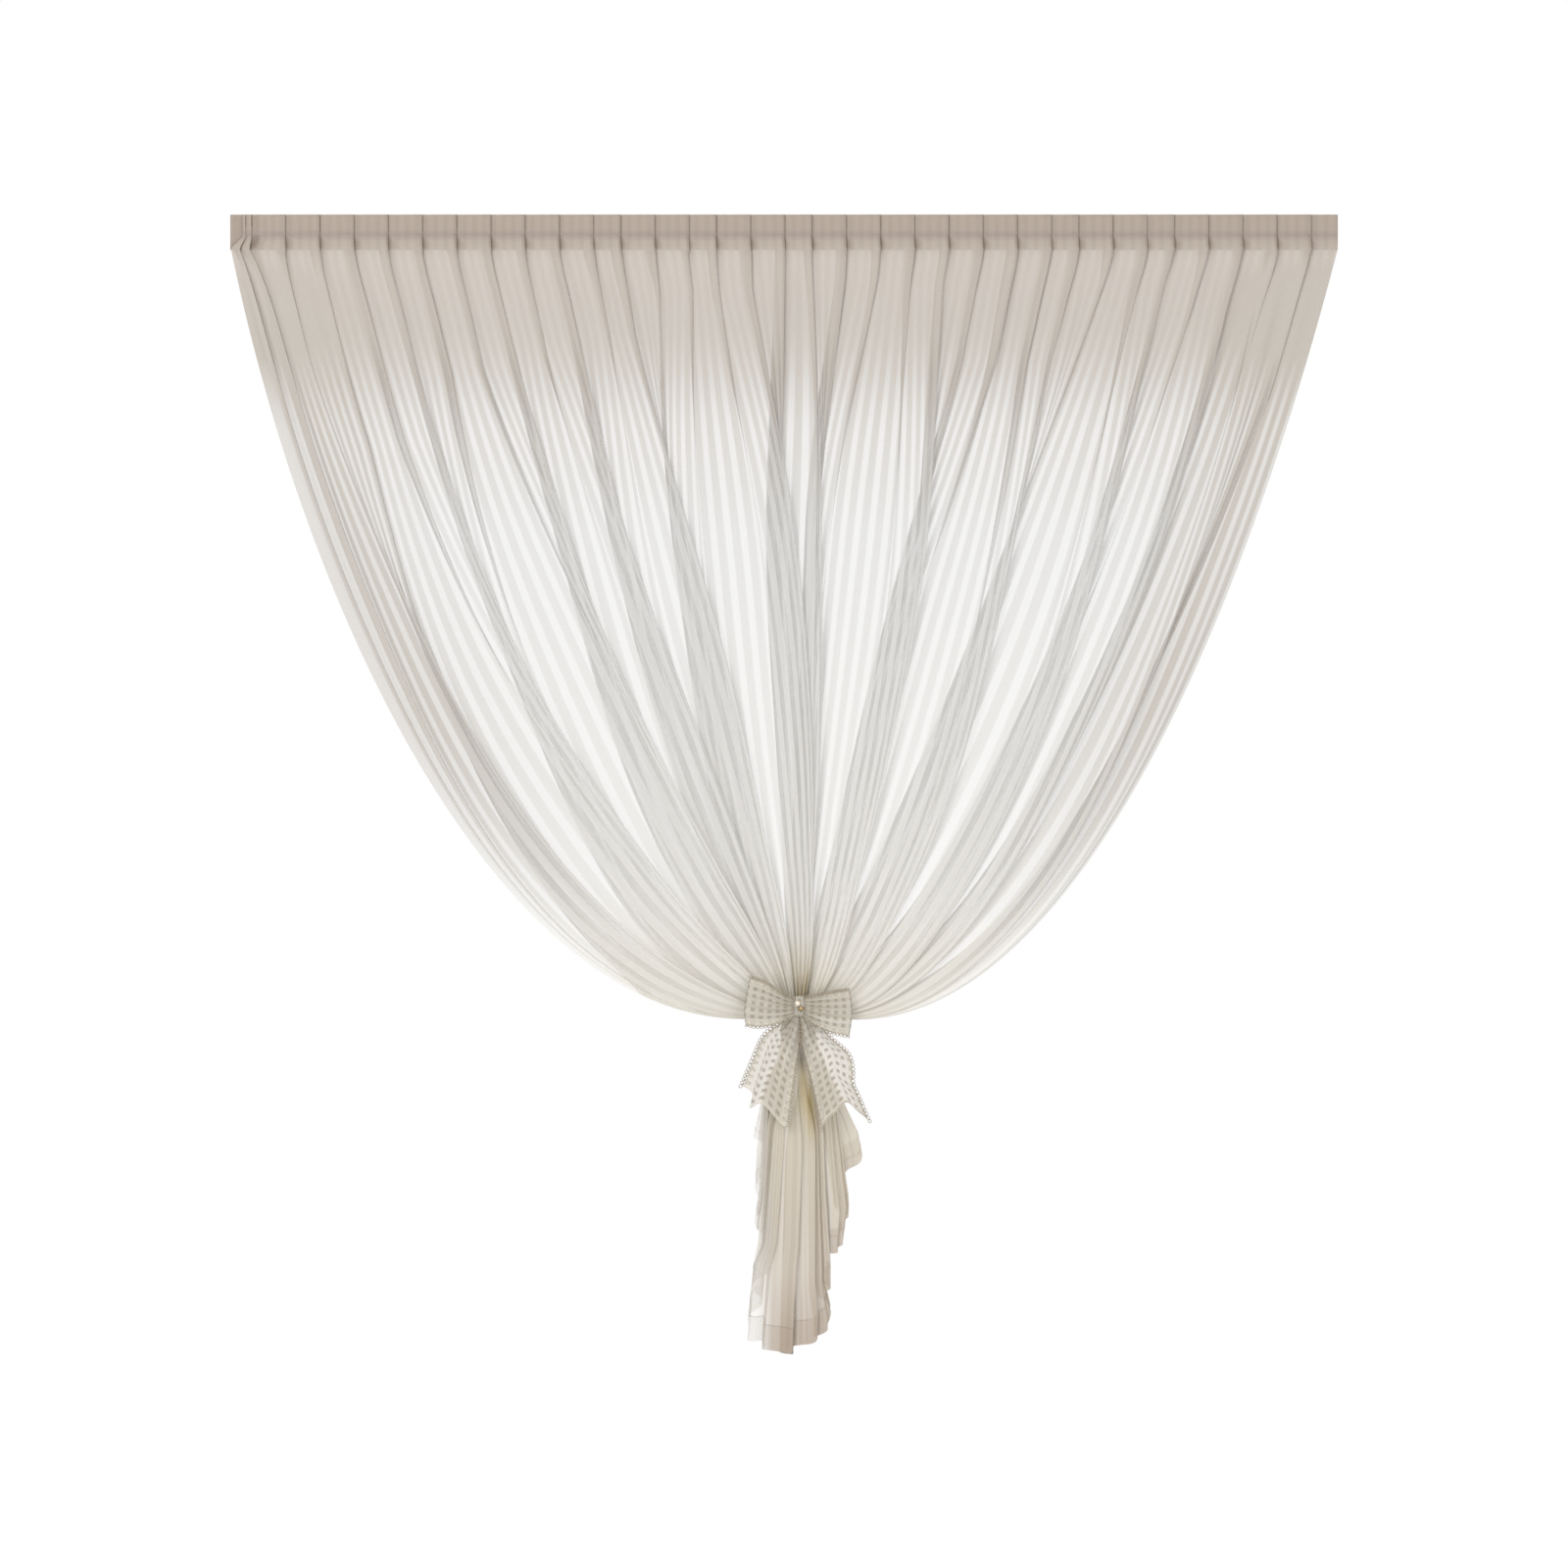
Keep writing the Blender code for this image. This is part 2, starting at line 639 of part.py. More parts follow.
def bead_seat(x, z, diameter):
    """How far forward a bead's centre stands so that it rests on the pinch with the seat's gap."""
    radius = diameter / 2
    reach = np.linspace(-1, 1, 41)
    nearest = 0.0
    for dx in reach * radius:
        for dz in reach * radius:
            flat = dx * dx + dz * dz
            if flat < radius * radius:
                need = pinch_surface(x + dx, z + dz) - math.sqrt(radius * radius - flat)
                nearest = min(nearest, need)
    return nearest - SEAT_GAP


def bead_pin(finish):
    """A gold ball on a short shaft that goes into the bow's middle."""
    x, z = PIN_AT
    y = bead_seat(x, z, PIN_HEAD_DIAMETER)
    pin = add_object("bead_pin", ball_mesh("bead_pin", (x, y, z), PIN_HEAD_DIAMETER), finish)
    far = pinch_surface(x, z) + PIN_LENGTH
    shaft = rod_mesh("shaft", (x, (y + far) / 2, z), PIN_DIAMETER, far - y, segments=10)
    combine(pin, tool("pin_shaft", shaft), "UNION")
    return pin


def pearl_bead(finish):
    x, z = PEARL_AT
    y = bead_seat(x, z, PEARL_DIAMETER)
    pin_y = bead_seat(*PIN_AT, PIN_HEAD_DIAMETER)
    flat = (x - PIN_AT[0]) ** 2 + (z - PIN_AT[1]) ** 2
    apart = (PEARL_DIAMETER + PIN_HEAD_DIAMETER) / 2 + SEAT_GAP
    if flat < apart * apart:
        y = min(y, pin_y - math.sqrt(apart * apart - flat))
    return add_object("pearl_bead", ball_mesh("pearl_bead", (x, y, z), PEARL_DIAMETER), finish)


def main():
    clear_scene()
    finishes = {
        "adhesive": material("adhesive_foam", (0.82, 0.82, 0.80), 0.6),
        "hook": material("hook_nylon", (0.80, 0.77, 0.73), 0.5),
        "loop": material("loop_nylon", (0.80, 0.77, 0.73), 0.8),
        "band": material("band_weave", (0.42, 0.37, 0.33), 0.8),
        "voile": material("sheer_voile", (0.82, 0.79, 0.74), 0.75),
        "tulle": material("dotted_tulle", (0.78, 0.74, 0.68), 0.7),
        "gold": material("gold_pin", (0.80, 0.58, 0.25), 0.25, 1.0),
        "pearl": material("pearl", (0.88, 0.84, 0.76), 0.2),
    }
    fastening_band(finishes)
    curtain_panel(finishes["voile"])
    bow_ribbon(finishes["tulle"])
    bead_pin(finishes["gold"])
    pearl_bead(finishes["pearl"])


main()
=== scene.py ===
"""The looks of a sheer pleated curtain on an adhesive band, tied low down with a dotted lace bow.

Everything is in metres in the frame's axes: +X to the viewer's right, -Y towards the viewer, +Z up.
"""

import math

import bpy
import numpy as np
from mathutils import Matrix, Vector


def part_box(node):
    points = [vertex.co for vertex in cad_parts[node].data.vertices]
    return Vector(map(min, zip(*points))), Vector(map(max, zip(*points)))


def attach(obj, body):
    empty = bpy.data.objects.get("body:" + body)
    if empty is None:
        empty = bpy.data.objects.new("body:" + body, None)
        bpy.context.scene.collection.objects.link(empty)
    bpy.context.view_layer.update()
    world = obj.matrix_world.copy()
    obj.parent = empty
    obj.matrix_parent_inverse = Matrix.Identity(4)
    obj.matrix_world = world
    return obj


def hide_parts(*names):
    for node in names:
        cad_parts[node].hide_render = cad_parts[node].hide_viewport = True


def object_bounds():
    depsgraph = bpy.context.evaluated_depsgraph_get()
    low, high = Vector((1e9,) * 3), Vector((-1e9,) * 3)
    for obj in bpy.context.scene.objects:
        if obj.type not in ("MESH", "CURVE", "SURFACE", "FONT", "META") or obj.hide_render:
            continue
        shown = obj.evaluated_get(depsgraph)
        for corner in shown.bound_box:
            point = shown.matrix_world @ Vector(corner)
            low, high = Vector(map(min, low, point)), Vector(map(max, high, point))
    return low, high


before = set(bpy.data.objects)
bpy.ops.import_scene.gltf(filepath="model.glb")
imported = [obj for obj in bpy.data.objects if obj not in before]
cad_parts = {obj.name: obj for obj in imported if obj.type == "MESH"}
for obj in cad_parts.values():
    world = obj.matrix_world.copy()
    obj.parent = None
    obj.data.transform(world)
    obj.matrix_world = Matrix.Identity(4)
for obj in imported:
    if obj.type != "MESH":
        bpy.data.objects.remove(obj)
CAD_BOX = [list(corner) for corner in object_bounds()]

# The band, read from the frame
BAND_LOW, BAND_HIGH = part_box("heading_band")
BAND_HALF = (BAND_HIGH.x - BAND_LOW.x) / 2
BAND_TOP = BAND_HIGH.z
BAND_BOTTOM = BAND_LOW.z
BAND_FRONT = BAND_LOW.y
SEAT_GAP = 0.0003

# The pleats along the band
BARE_LEFT = 0.017
BARE_RIGHT = 0.0014
CORNER_FLARE_LEFT = 0.0155
CORNER_FLARE_RIGHT = 0.0008
FLARE_WIDTH = 0.0065
PLEATS = 32
FIRST_PANEL = 0.058
LAST_PANEL = 0.035
SHORT_STEP = 0.0095
SHORT_PLEATS = (10, 13, 16, 24, 27)
PLEAT_OVERLAP = 0.0128
OPENS_FROM = 0.15
FOLD_RADIUS = 0.0007
STITCH_DROP = 0.028
PINCH_HALF = 0.0011
PINCH_SHARE = 0.35
TOP_ROLL = 0.55
HEADER_DEPTH = 0.0042
OPEN_HEADER_DEPTH = 0.0062
CLOTH_CLEAR = 0.0004
PLEAT_GAPE = 0.0008
GAPE_FADE = 0.3
HEADER_DROPS = (
    *(0.0, 0.0012, 0.008, 0.016),
    *(STITCH_DROP - 0.001, STITCH_DROP, STITCH_DROP + 0.001),
    *(0.033, 0.038, 0.043),
)
# Two small folds that fan out of the left corner, as (place at the band, how far it moves in, overlap)
CORNER_FOLDS = ((0.0045, 0.0055, 0.0030), (0.0125, 0.0165, 0.0080))
CORNER_MOVE = 0.030
CORNER_FADE = 0.16

# Where the lines of a panel stand, as shares of its width, and how far and how strongly a pleat shades it
PANEL_SHARES = (0.0, 0.10, 0.20, 0.225, 0.255, 0.32, 0.44, 0.55, 0.67, 0.80, 0.92)
TUCKED_SHARE = 0.225
TUCK_NARROW = 0.03
TUCK_WIDE = 0.15
TUCK_WIDE_DROP = 0.038
TUCK_ROWS = 2.4
TUCK_IN_HEADER = 0.5
TUCK_UNDER_STITCH = 2.2
TUCK_IN_FOLD = 0.6

# The fall of the cloth from the band to the neck
NECK_X = 0.020
NECK_DROP = 1.0845
NECK_HEIGHT = 0.020
NECK_HALF_WIDTH = 0.024
NECK_HALF_DEPTH = 0.0165
NECK_FROM_WALL = 0.005
TOP_PULL = {-1: 0.108, 1: 0.090}
TOP_FALL = {-1: 0.526, 1: 0.349}
LOW_REACH = {-1: 0.349, 1: 0.371}
LOW_SAG = {-1: 0.061, 1: 0.077}
SAG_GROWTH = 1.6
PULL_SPREAD = 2.2
HANG_STRAIGHT = 0.30
HANG_SHORT = 0.03
GATHER_ALONG = 0.45
WANDER = 0.0030
WANDER_EDGE = 0.06
HANG_EDGE = 0.06

# The big soft folds that grow towards the neck, and what is left of the pleats and panels between them
BIG_FOLDS = 13
BIG_START = 0.0
BIG_LATEST = 0.20
BIG_FULL = 0.92
BIG_RISE = 1.08
BIG_SWEEP = (4.2, 7.4)
BIG_GROWTH = 0.3
BIG_CROWD = 0.55
BIG_GAPS = (0.55, 1.5)
BIG_GROW_FROM = 0.74
BIG_EDGE = 0.05
BIG_SEED = 7
BIG_DEPTH = 0.0105
BIG_SUNK = 0.6
PLEAT_DEPTH = 0.0020
PLEAT_FLAT = 0.12
PLEAT_SEED = 100
DRIFT_SEED = 300
HOLD_LEFT = (0.38, 1.0)
HOLD_LENGTH = (0.03, 0.13)
HOLD_DRIFT = 0.30
HOLD_LOSS = (0.35, 1.0)
HOLD_LOST = (0.30, 0.75)
PANEL_WAVE = (0.0023, 0.0012)
PANEL_CALM = (0.12, 0.50)
GATHERS = 58
GATHER_FROM = 0.91
GATHER_SHARE = 0.38

# The tail below the neck. Each side fold is (share of the half width, hem drop, its reach from the neck's
# middle at several drops below the neck), from the middle of the cloth out to its edge
TAIL_DROP = 0.434
TAIL_LEAN = -0.012
TAIL_FROM_WALL = 0.008
LAYER_STEP = 0.0042
MOST_LEVELS = 5
LEVEL_ALONG = 0.16
LOOSE_ALONG = 0.08
OPEN_ALONG = 0.34
HANG_ALONG = 0.40
CENTRE_FOLDS = 2.5
CENTRE_SWEEP = 4.6
CENTRE_DEPTH = 0.0055
CENTRE_UNEVEN = 0.9
SIDE_FOLDS = 11
SIDE_SWEEP = (0.0050, 0.0120)
SIDE_DEPTH = 0.0024
SMALL_PLEATS = 41
SMALL_DEPTH = (0.0004, 0.0006, 0.0017)
FLUTTER = (0.0035, 0.0016)
FLUTTER_WAVES = (4.3, 11)
TAIL_FOLDS = {
    -1: (
        (
            0.30,
            0.414,
            ((0.10, 0.030), (0.16, 0.033), (0.25, 0.038), (0.29, 0.041), (0.32, 0.053), (0.41, 0.061)),
        ),
        (0.52, 0.291, ((0.10, 0.024), (0.20, 0.028), (0.29, 0.035))),
        (0.70, 0.262, ((0.10, 0.044), (0.165, 0.047), (0.21, 0.050), (0.262, 0.056))),
        (0.86, 0.163, ((0.06, 0.022), (0.12, 0.032), (0.163, 0.040))),
        (1.00, 0.140, ((0.04, 0.030), (0.09, 0.050), (0.14, 0.061))),
    ),
    1: (
        (0.30, 0.385, ((0.10, 0.028), (0.22, 0.034), (0.30, 0.039), (0.344, 0.041), (0.385, 0.052))),
        (0.52, 0.308, ((0.10, 0.018), (0.22, 0.026), (0.308, 0.036))),
        (0.70, 0.287, ((0.10, 0.050), (0.18, 0.060), (0.24, 0.068), (0.287, 0.063))),
        (0.86, 0.222, ((0.06, 0.024), (0.14, 0.036), (0.222, 0.050))),
        (1.00, 0.171, ((0.05, 0.038), (0.10, 0.062), (0.14, 0.080), (0.171, 0.086))),
    ),
}

# The bow, seen from the front: places across and up from its middle, in millimetres
BOW_X = 0.0205
BOW_Z = -1.0445
LOOP_EDGES = {
    "left": (
        ((-3, 8), (-14, 11), (-30, 21), (-46, 31), (-66, 38)),
        ((-3, -13), (-16, -20), (-34, -27), (-54, -30), (-72, -28)),
        ((-66, 38), (-70, 20), (-73, 0), (-74, -14), (-72, -28)),
    ),
    "right": (
        ((3, 8), (16, 12), (41, 17), (67, 21)),
        ((3, -13), (15, -24), (41, -37), (67, -43)),
        ((67, 21), (70, 8), (71, -10), (70, -28), (67, -43)),
    ),
}
END_EDGES = {
    "left": (
        ((-4, -10), (-25, -24), (-49, -42), (-65, -77), (-79, -110)),
        ((-1, -12), (1, -34), (0, -58), (-6, -100), (-14, -162)),
        ((-79, -110), (-64, -121), (-67, -141), (-50, -136), (-23, -165), (-14, -162)),
    ),
    "right": (
        ((4, -10), (26, -24), (43, -44), (67, -66), (73, -88), (73, -106), (80, -122), (95, -157)),
        ((1, -12), (2, -34), (4, -58), (17, -110), (30, -169)),
        ((95, -157), (78, -143), (64, -132), (48, -146), (36, -158), (30, -169)),
    ),
}

# The ribbon, and how far forward the parts of the bow stand, in metres again
RIBBON_WIDTH = 0.065
LOOP_LENGTH = 0.072
LOOP_PUFF = 0.010
LOOP_FOLD = 0.0034
LOOP_BACK = -0.0405
BOW_FRONT = -0.0445
END_FRONT = -0.0470
END_FOLD = 0.0030
END_TUCKED = 0.0010
END_LOOSE = 0.3
KNOT_HALF_WIDTH = 0.0080
KNOT_HALF_HEIGHT = 0.0140
KNOT_WAIST = 0.42
KNOT_ROUND = 0.94
KNOT_LOW = 0.0025
KNOT_DEPTH = 0.011
KNOT_CUT = (0.017, 0.048)
RING_HALF_HEIGHT = 0.007
RING_RAISED = 0.018
RING_CLEAR = 0.0016
RING_BACK = -0.0015
RING_OVAL = 0.012

# The ribbon's dots and its lace edge, measured in from the ribbon's own edge, and all the sewing
DOT_ACROSS = 0.0093
DOT_ALONG = 0.0112
DOT_HALF = 0.00258
DOT_BLUR = 0.0006
DOT_RIM = 0.0004
SCALLOP = 0.0068
SCALLOP_DEPTH = 0.0012
SCALLOP_INSET = 0.0014
LACE_CUT = (-0.0003, 0.0001)
LACE_RIM = (0.0006, 0.0016)
LACE_BODY = (0.0045, 0.0060)
LACE_HOLE = (0.0009, 0.0012)
PICOT_SPACING = 0.0052
PICOT_RADIUS = 0.0022
PICOT_THREAD = 0.0005
THREAD_RADIUS = 0.00032
STITCH_SPACING = 0.0046
STITCH_LENGTH = 0.0030

# The cloth as it was cut and woven, and how many rows of points it has above and below the neck
CLOTH_WIDTH = 2.31
CLOTH_LENGTH = 1.53
HEM_DEPTH = 0.034
HEM_BLUR = 0.0012
STRIPE_PITCH = 0.0129
STRIPE_SHARE = (0.23, 0.31)
VOILE_THREADS = 5200.0
RIBBON_THREADS = 4200.0
SLUBS = 900.0
FAN_STEPS = 110
TAIL_STEPS = 64

# Where the voile changes: dense above and below, sheer left in the tail, with warm painted shade at the edges
# and warm painted light at the neck
DENSE_TOP = (-0.29, -0.116)
DENSE_LOW = (-1.09, -0.95)
# Left in the tail the cloth is sheerer, and partly painted light: near white to lift the shade of the folds
# behind
TAIL_SHEER_AND_LIT_X = (-0.044, -0.008)
TAIL_SHEER_AND_LIT_Z = (-1.19, -1.09)
HEM_SHADE_Z = (-1.38, -1.31)
# Painted shade down the upper sides: beige and denser, as of a dim wall behind the sheer cloth
SIDE_SHADE_FROM = 0.76
SIDE_SHADE_FADE = {-1: (0.40, 0.75), 1: (0.42, 0.86)}
# Painted shade, warm-toned, in the hollow under the knot, down the middle of the tail
UNDER_KNOT_ALONG = (0.18, 0.42)
UNDER_KNOT_OUT = (0.04, 0.20)
UNDER_KNOT_ROWS = 12
# Painted light: a pale warm tint round the neck that lifts the grey shade of the bunched folds
NECK_PAINTED_LIGHT = (0.02, 0.11)
SEAM_SHADE = (0.003, 0.009)

# How much of the view the voile's thick and thin stripes cover, where it is loose and where it is dense
LOOSE_COVER = (0.70, 0.29)
LOOSE_UNEVEN = (0.14, 0.18)
DENSE_COVER = (0.95, 0.89)

# The voile's colour from the foot of the tail, at 0, to the top of the band, at 1
# From 0.86 up its darker beige is painted shade, as of a dim wall behind the sheer cloth. The pale stop at
# 0.31, by the neck, is painted light on the bunched folds
VOILE_COLOURS_LIGHT_AND_SHADE = (
    (0.00, (187, 170, 153)),
    (0.07, (213, 202, 187)),
    (0.24, (224, 215, 196)),
    (0.31, (241, 237, 228)),
    (0.42, (234, 232, 228)),
    (0.72, (218, 217, 215)),
    (0.86, (196, 189, 180)),
    (0.96, (197, 187, 177)),
    (0.985, (181, 167, 154)),
)
# The beige of the painted side shade
SIDE_SHADE_COLOUR = (196, 189, 180)

# The stage, and the camera, which looks straight at the curtain. The view is 1600 pixels wide and high, and
# the band is 1130 of them long
WHITE = (1.0, 1.0, 1.0, 1.0)
FLOOR_COLOUR = (0.86, 0.86, 0.86, 1.0)
FLOOR_DROP = 0.42
FLOOR_HALF = 4
LIT_PLACE = (0, 0, -0.75)
VIEW_PIXELS = 1600
BAND_PIXELS = 1130
BAND_TOP_PIXEL = 219
CAMERA_AWAY = 7.5
SENSOR_WIDTH = 36.0

CLOTH_LEFT = -BAND_HALF + BARE_LEFT
CLOTH_RIGHT = BAND_HALF - BARE_RIGHT
CLOTH_BACK = BAND_FRONT - SEAT_GAP
NECK_TOP = BAND_TOP - NECK_DROP
NECK_BOTTOM = NECK_TOP - NECK_HEIGHT
NECK_Y = -(NECK_FROM_WALL + NECK_HALF_DEPTH)
STITCH_Z = BAND_TOP - STITCH_DROP


def smooth_step(low, high, value):
    along = np.clip((value - low) / (high - low), 0.0, 1.0)
    return along * along * (3 - 2 * along)


def drift(seed, along, waves=4):
    """A slow wander between -1 and 1 down the cloth, the same each run for the same seed."""
    dice = np.random.default_rng(seed)
    total = np.zeros_like(along)
    for wave in range(1, waves + 1):
        height, start = dice.uniform(-1, 1), dice.uniform(0, math.tau)
        total = total + height * np.sin(math.pi * wave * along + start) / wave
    return total / 1.6


def in_scene(name, data):
    """A new object with this data, set into the scene."""
    obj = bpy.data.objects.new(name, data)
    bpy.context.scene.collection.objects.link(obj)
    return obj


def add_mesh(name, points, faces, uv=None, smooth=True):
    """A mesh object from points and faces, with one UV pair for each point if they are given."""
    mesh = bpy.data.meshes.new(name)
    mesh.from_pydata([tuple(p) for p in points], [], [tuple(f) for f in faces])
    if uv is not None:
        layer = mesh.uv_layers.new(name="UVMap")
        corners = np.empty(len(mesh.loops), dtype=np.int32)
        mesh.loops.foreach_get("vertex_index", corners)
        layer.data.foreach_set("uv", np.asarray(uv, dtype=np.float32)[corners].ravel())
    mesh.update()
    if smooth:
        mesh.shade_smooth()
    return in_scene(name, mesh)


def add_values(obj, name, values):
    """A number for each point of a mesh, which its material reads by name."""
    layer = obj.data.attributes.new(name, "FLOAT", "POINT")
    layer.data.foreach_set("value", np.asarray(values, dtype=np.float32).ravel())


def add_grid(name, points, uv, mirrored=False):
    """A sheet from a grid of points. Its front shows towards -Y when its columns run along +X."""
    rows, columns = points.shape[:2]
    corner = np.arange(rows * columns).reshape(rows, columns)
    quads = np.stack([corner[:-1, :-1], corner[1:, :-1], corner[1:, 1:], corner[:-1, 1:]], axis=-1)
    faces = quads.reshape(-1, 4)[:, ::-1] if mirrored else quads.reshape(-1, 4)
    return add_mesh(name, points.reshape(-1, 3), faces, uv.reshape(-1, 2))


def pleat_places():
    """Where each pleat's front fold stands on the band. A few were taken up closer to the one before."""
    span = CLOTH_RIGHT - LAST_PANEL - (CLOTH_LEFT + FIRST_PANEL)
    step = (span + SHORT_STEP * len(SHORT_PLEATS)) / (PLEATS - 1)
    places = [CLOTH_LEFT + FIRST_PANEL]
    for pleat in range(1, PLEATS):
        places.append(places[-1] + step - (SHORT_STEP if pleat in SHORT_PLEATS else 0.0))
    return places


class Cloth:
    """The lines down the cloth from left to right, each with its part in a fold. A pleat turns round its
    front fold, runs back behind it and turns again. The panel after it comes forward to the next pleat."""

    def __init__(self):
        folds = [(CLOTH_LEFT + place, move, overlap) for place, move, overlap in CORNER_FOLDS]
        folds += [(place, 0.0, PLEAT_OVERLAP) for place in pleat_places()]
        self.folds = folds
        kinds, numbers, values, flats = [], [], [], []
        flat, start, overlap_before = 0.0, CLOTH_LEFT, 0.0

        def line(kind, number, value, at):
            kinds.append(kind)
            numbers.append(number)
            values.append(value)
            flats.append(at)

        for number, (fold, _, overlap) in enumerate(folds):
            width = fold - start + overlap_before
            for share in PANEL_SHARES:
                line("panel", number, share, flat + width * share)
            flat += width
            for value in (-1.0, -0.67, -0.33):
                line("front", number, value, flat)
                flat += FOLD_RADIUS
            for share in (0.33, 0.67):
                line("run", number, share, flat + overlap * share)
            flat += overlap
            for value in (0.33, 0.67):
                line("back", number, value, flat)
                flat += FOLD_RADIUS
            start, overlap_before = fold, overlap
        width = CLOTH_RIGHT - start + overlap_before
        for share in (*PANEL_SHARES, 1.0):
            line("panel", len(folds), share, flat + width * share)
        self.kind, self.number = np.array(kinds), np.array(numbers)
        self.value = np.array(values)
        self.width = flat + width
        self.flat = np.array(flats)
        self.even = -1 + 2 * self.flat / self.width
        self.mean_place = self.smoothed_places()

    def smoothed_places(self):
        """Where each line would stand if its fold were pulled out flat."""
        known_flat, known_place = [0.0], [CLOTH_LEFT]
        for number, (fold, _, overlap) in enumerate(self.folds):
            run = (self.kind == "run") & (self.number == number)
            known_flat.append(self.flat[run].mean())
            known_place.append(fold - overlap * OPENS_FROM)
        known_flat.append(self.width)
        known_place.append(CLOTH_RIGHT)
        return np.interp(self.flat, known_flat, known_place)

    def pleated(self, along, gape, corner):
        """Each line's place on the band and its depth in its pleat, row by row. Gape opens the fold a little,
        and corner is how much of the two corner folds there is."""
        rows = len(along)
        fronts, backs = [], []
        for number, (fold, move, overlap) in enumerate(self.folds):
            in_corner = number < len(CORNER_FOLDS)
            middle = fold + move * (1 - np.exp(-along / CORNER_MOVE))
            fronts.append(middle if in_corner else middle + PLEAT_GAPE * gape)
            backs.append(middle - overlap * (corner if in_corner else 1.0))
        place = np.empty((rows, len(self.flat)))
        depth = np.empty((rows, len(self.flat)))
        for index, (kind, number, value) in enumerate(zip(self.kind, self.number, self.value)):
            if kind == "panel":
                first, last = number == 0, number == len(self.folds)
                left = np.full(rows, CLOTH_LEFT) if first else backs[number - 1]
                right = np.full(rows, CLOTH_RIGHT) if last else fronts[number] - FOLD_RADIUS
                place[:, index] = left + (right - left) * value
                depth[:, index] = -value * corner if first else 1 - value if last else 1 - 2 * value
                if number == 1:
                    depth[:, index] = (1 - 2 * value) * corner
            elif kind == "front":
                place[:, index] = fronts[number] - FOLD_RADIUS * (abs(value + 0.67) > 0.1)
                depth[:, index] = value
            elif kind == "run":
                place[:, index] = fronts[number] + (backs[number] - fronts[number]) * value
                depth[:, index] = -0.33 + 0.66 * value
            else:
                place[:, index] = backs[number] - FOLD_RADIUS * (value > 0.5)
                depth[:, index] = value
            if number < len(CORNER_FOLDS) and kind != "panel":
                depth[:, index] *= corner
        return place, depth

    def pleat_hold(self, along):
        """How much of each pleat is left at each height. Some open soon below the heading, others run on."""
        hold = np.empty((len(along), len(self.folds) + 1))
        for number in range(len(self.folds) + 1):
            dice = np.random.default_rng(PLEAT_SEED + number)
            left = 1.0 if number < len(CORNER_FOLDS) else dice.uniform(*HOLD_LEFT)
            length = dice.uniform(*HOLD_LENGTH)
            wander = 1 + HOLD_DRIFT * drift(DRIFT_SEED + number, along)
            hold[:, number] = (left + (1 - left) * np.exp(-((along / length) ** 1.3))) * wander
            hold[:, number] *= 1 - dice.uniform(*HOLD_LOSS) * smooth_step(*HOLD_LOST, along)
            hold[:, number] = np.where(along <= 0, 1.0, hold[:, number])
        here = hold[:, self.number]
        before = hold[:, np.maximum(self.number - 1, 0)]
        return np.where(self.kind == "panel", before * (1 - self.value) + here * self.value, here)

    def big_folds(self, along):
        """The big folds, as shifts in place along the band and a depth from -1 at the front to 1 behind."""
        dice = np.random.default_rng(BIG_SEED)
        middles = np.linspace(-1, 1, BIG_FOLDS)
        gaps = dice.uniform(*BIG_GAPS, BIG_FOLDS) * (1 - BIG_CROWD * np.abs(middles) ** 2)
        marks = np.concatenate([[0], np.cumsum(gaps)]) * self.width / gaps.sum()
        turns = np.interp(self.flat, marks, np.arange(BIG_FOLDS + 1))
        shape = np.sin(math.tau * turns)
        number = np.clip(turns.astype(int), 0, BIG_FOLDS - 1)
        sweep = dice.uniform(*BIG_SWEEP, BIG_FOLDS)[number]
        start = dice.uniform(BIG_START, BIG_LATEST, BIG_FOLDS)[number]
        wide = np.diff(np.interp(marks, self.flat, self.mean_place))[number]
        down = along[:, None]
        grown = np.clip((down - start) / (BIG_FULL - start), 0, 1) ** BIG_RISE
        more = 1 + BIG_GROWTH * smooth_step(BIG_GROW_FROM, 1.0, down)
        inside = np.minimum(self.mean_place - CLOTH_LEFT, CLOTH_RIGHT - self.mean_place)
        moved = -shape * sweep * wide / math.tau * np.clip(inside / BIG_EDGE, 0, 1)
        return grown * more * moved, np.sqrt(grown) * shape


def corner_flare(place):
    """The low corners of the heading stand out past the edges of the cloth above them."""
    left = np.exp(-np.maximum(place - CLOTH_LEFT, 0) / FLARE_WIDTH) * CORNER_FLARE_LEFT
    return left - np.exp(-np.maximum(CLOTH_RIGHT - place, 0) / FLARE_WIDTH) * CORNER_FLARE_RIGHT


def share_of(place):
    """How far out a place on the band lies, from -1 at the left edge to 1 at the right, 0 above the neck."""
    left = NECK_X - (CLOTH_LEFT - CORNER_FLARE_LEFT)
    right = CLOTH_RIGHT + CORNER_FLARE_RIGHT - NECK_X
    return np.clip(np.where(place < NECK_X, (place - NECK_X) / left, (place - NECK_X) / right), -1, 1)


def side_value(values, share):
    return np.where(share < 0, values[-1], values[1])


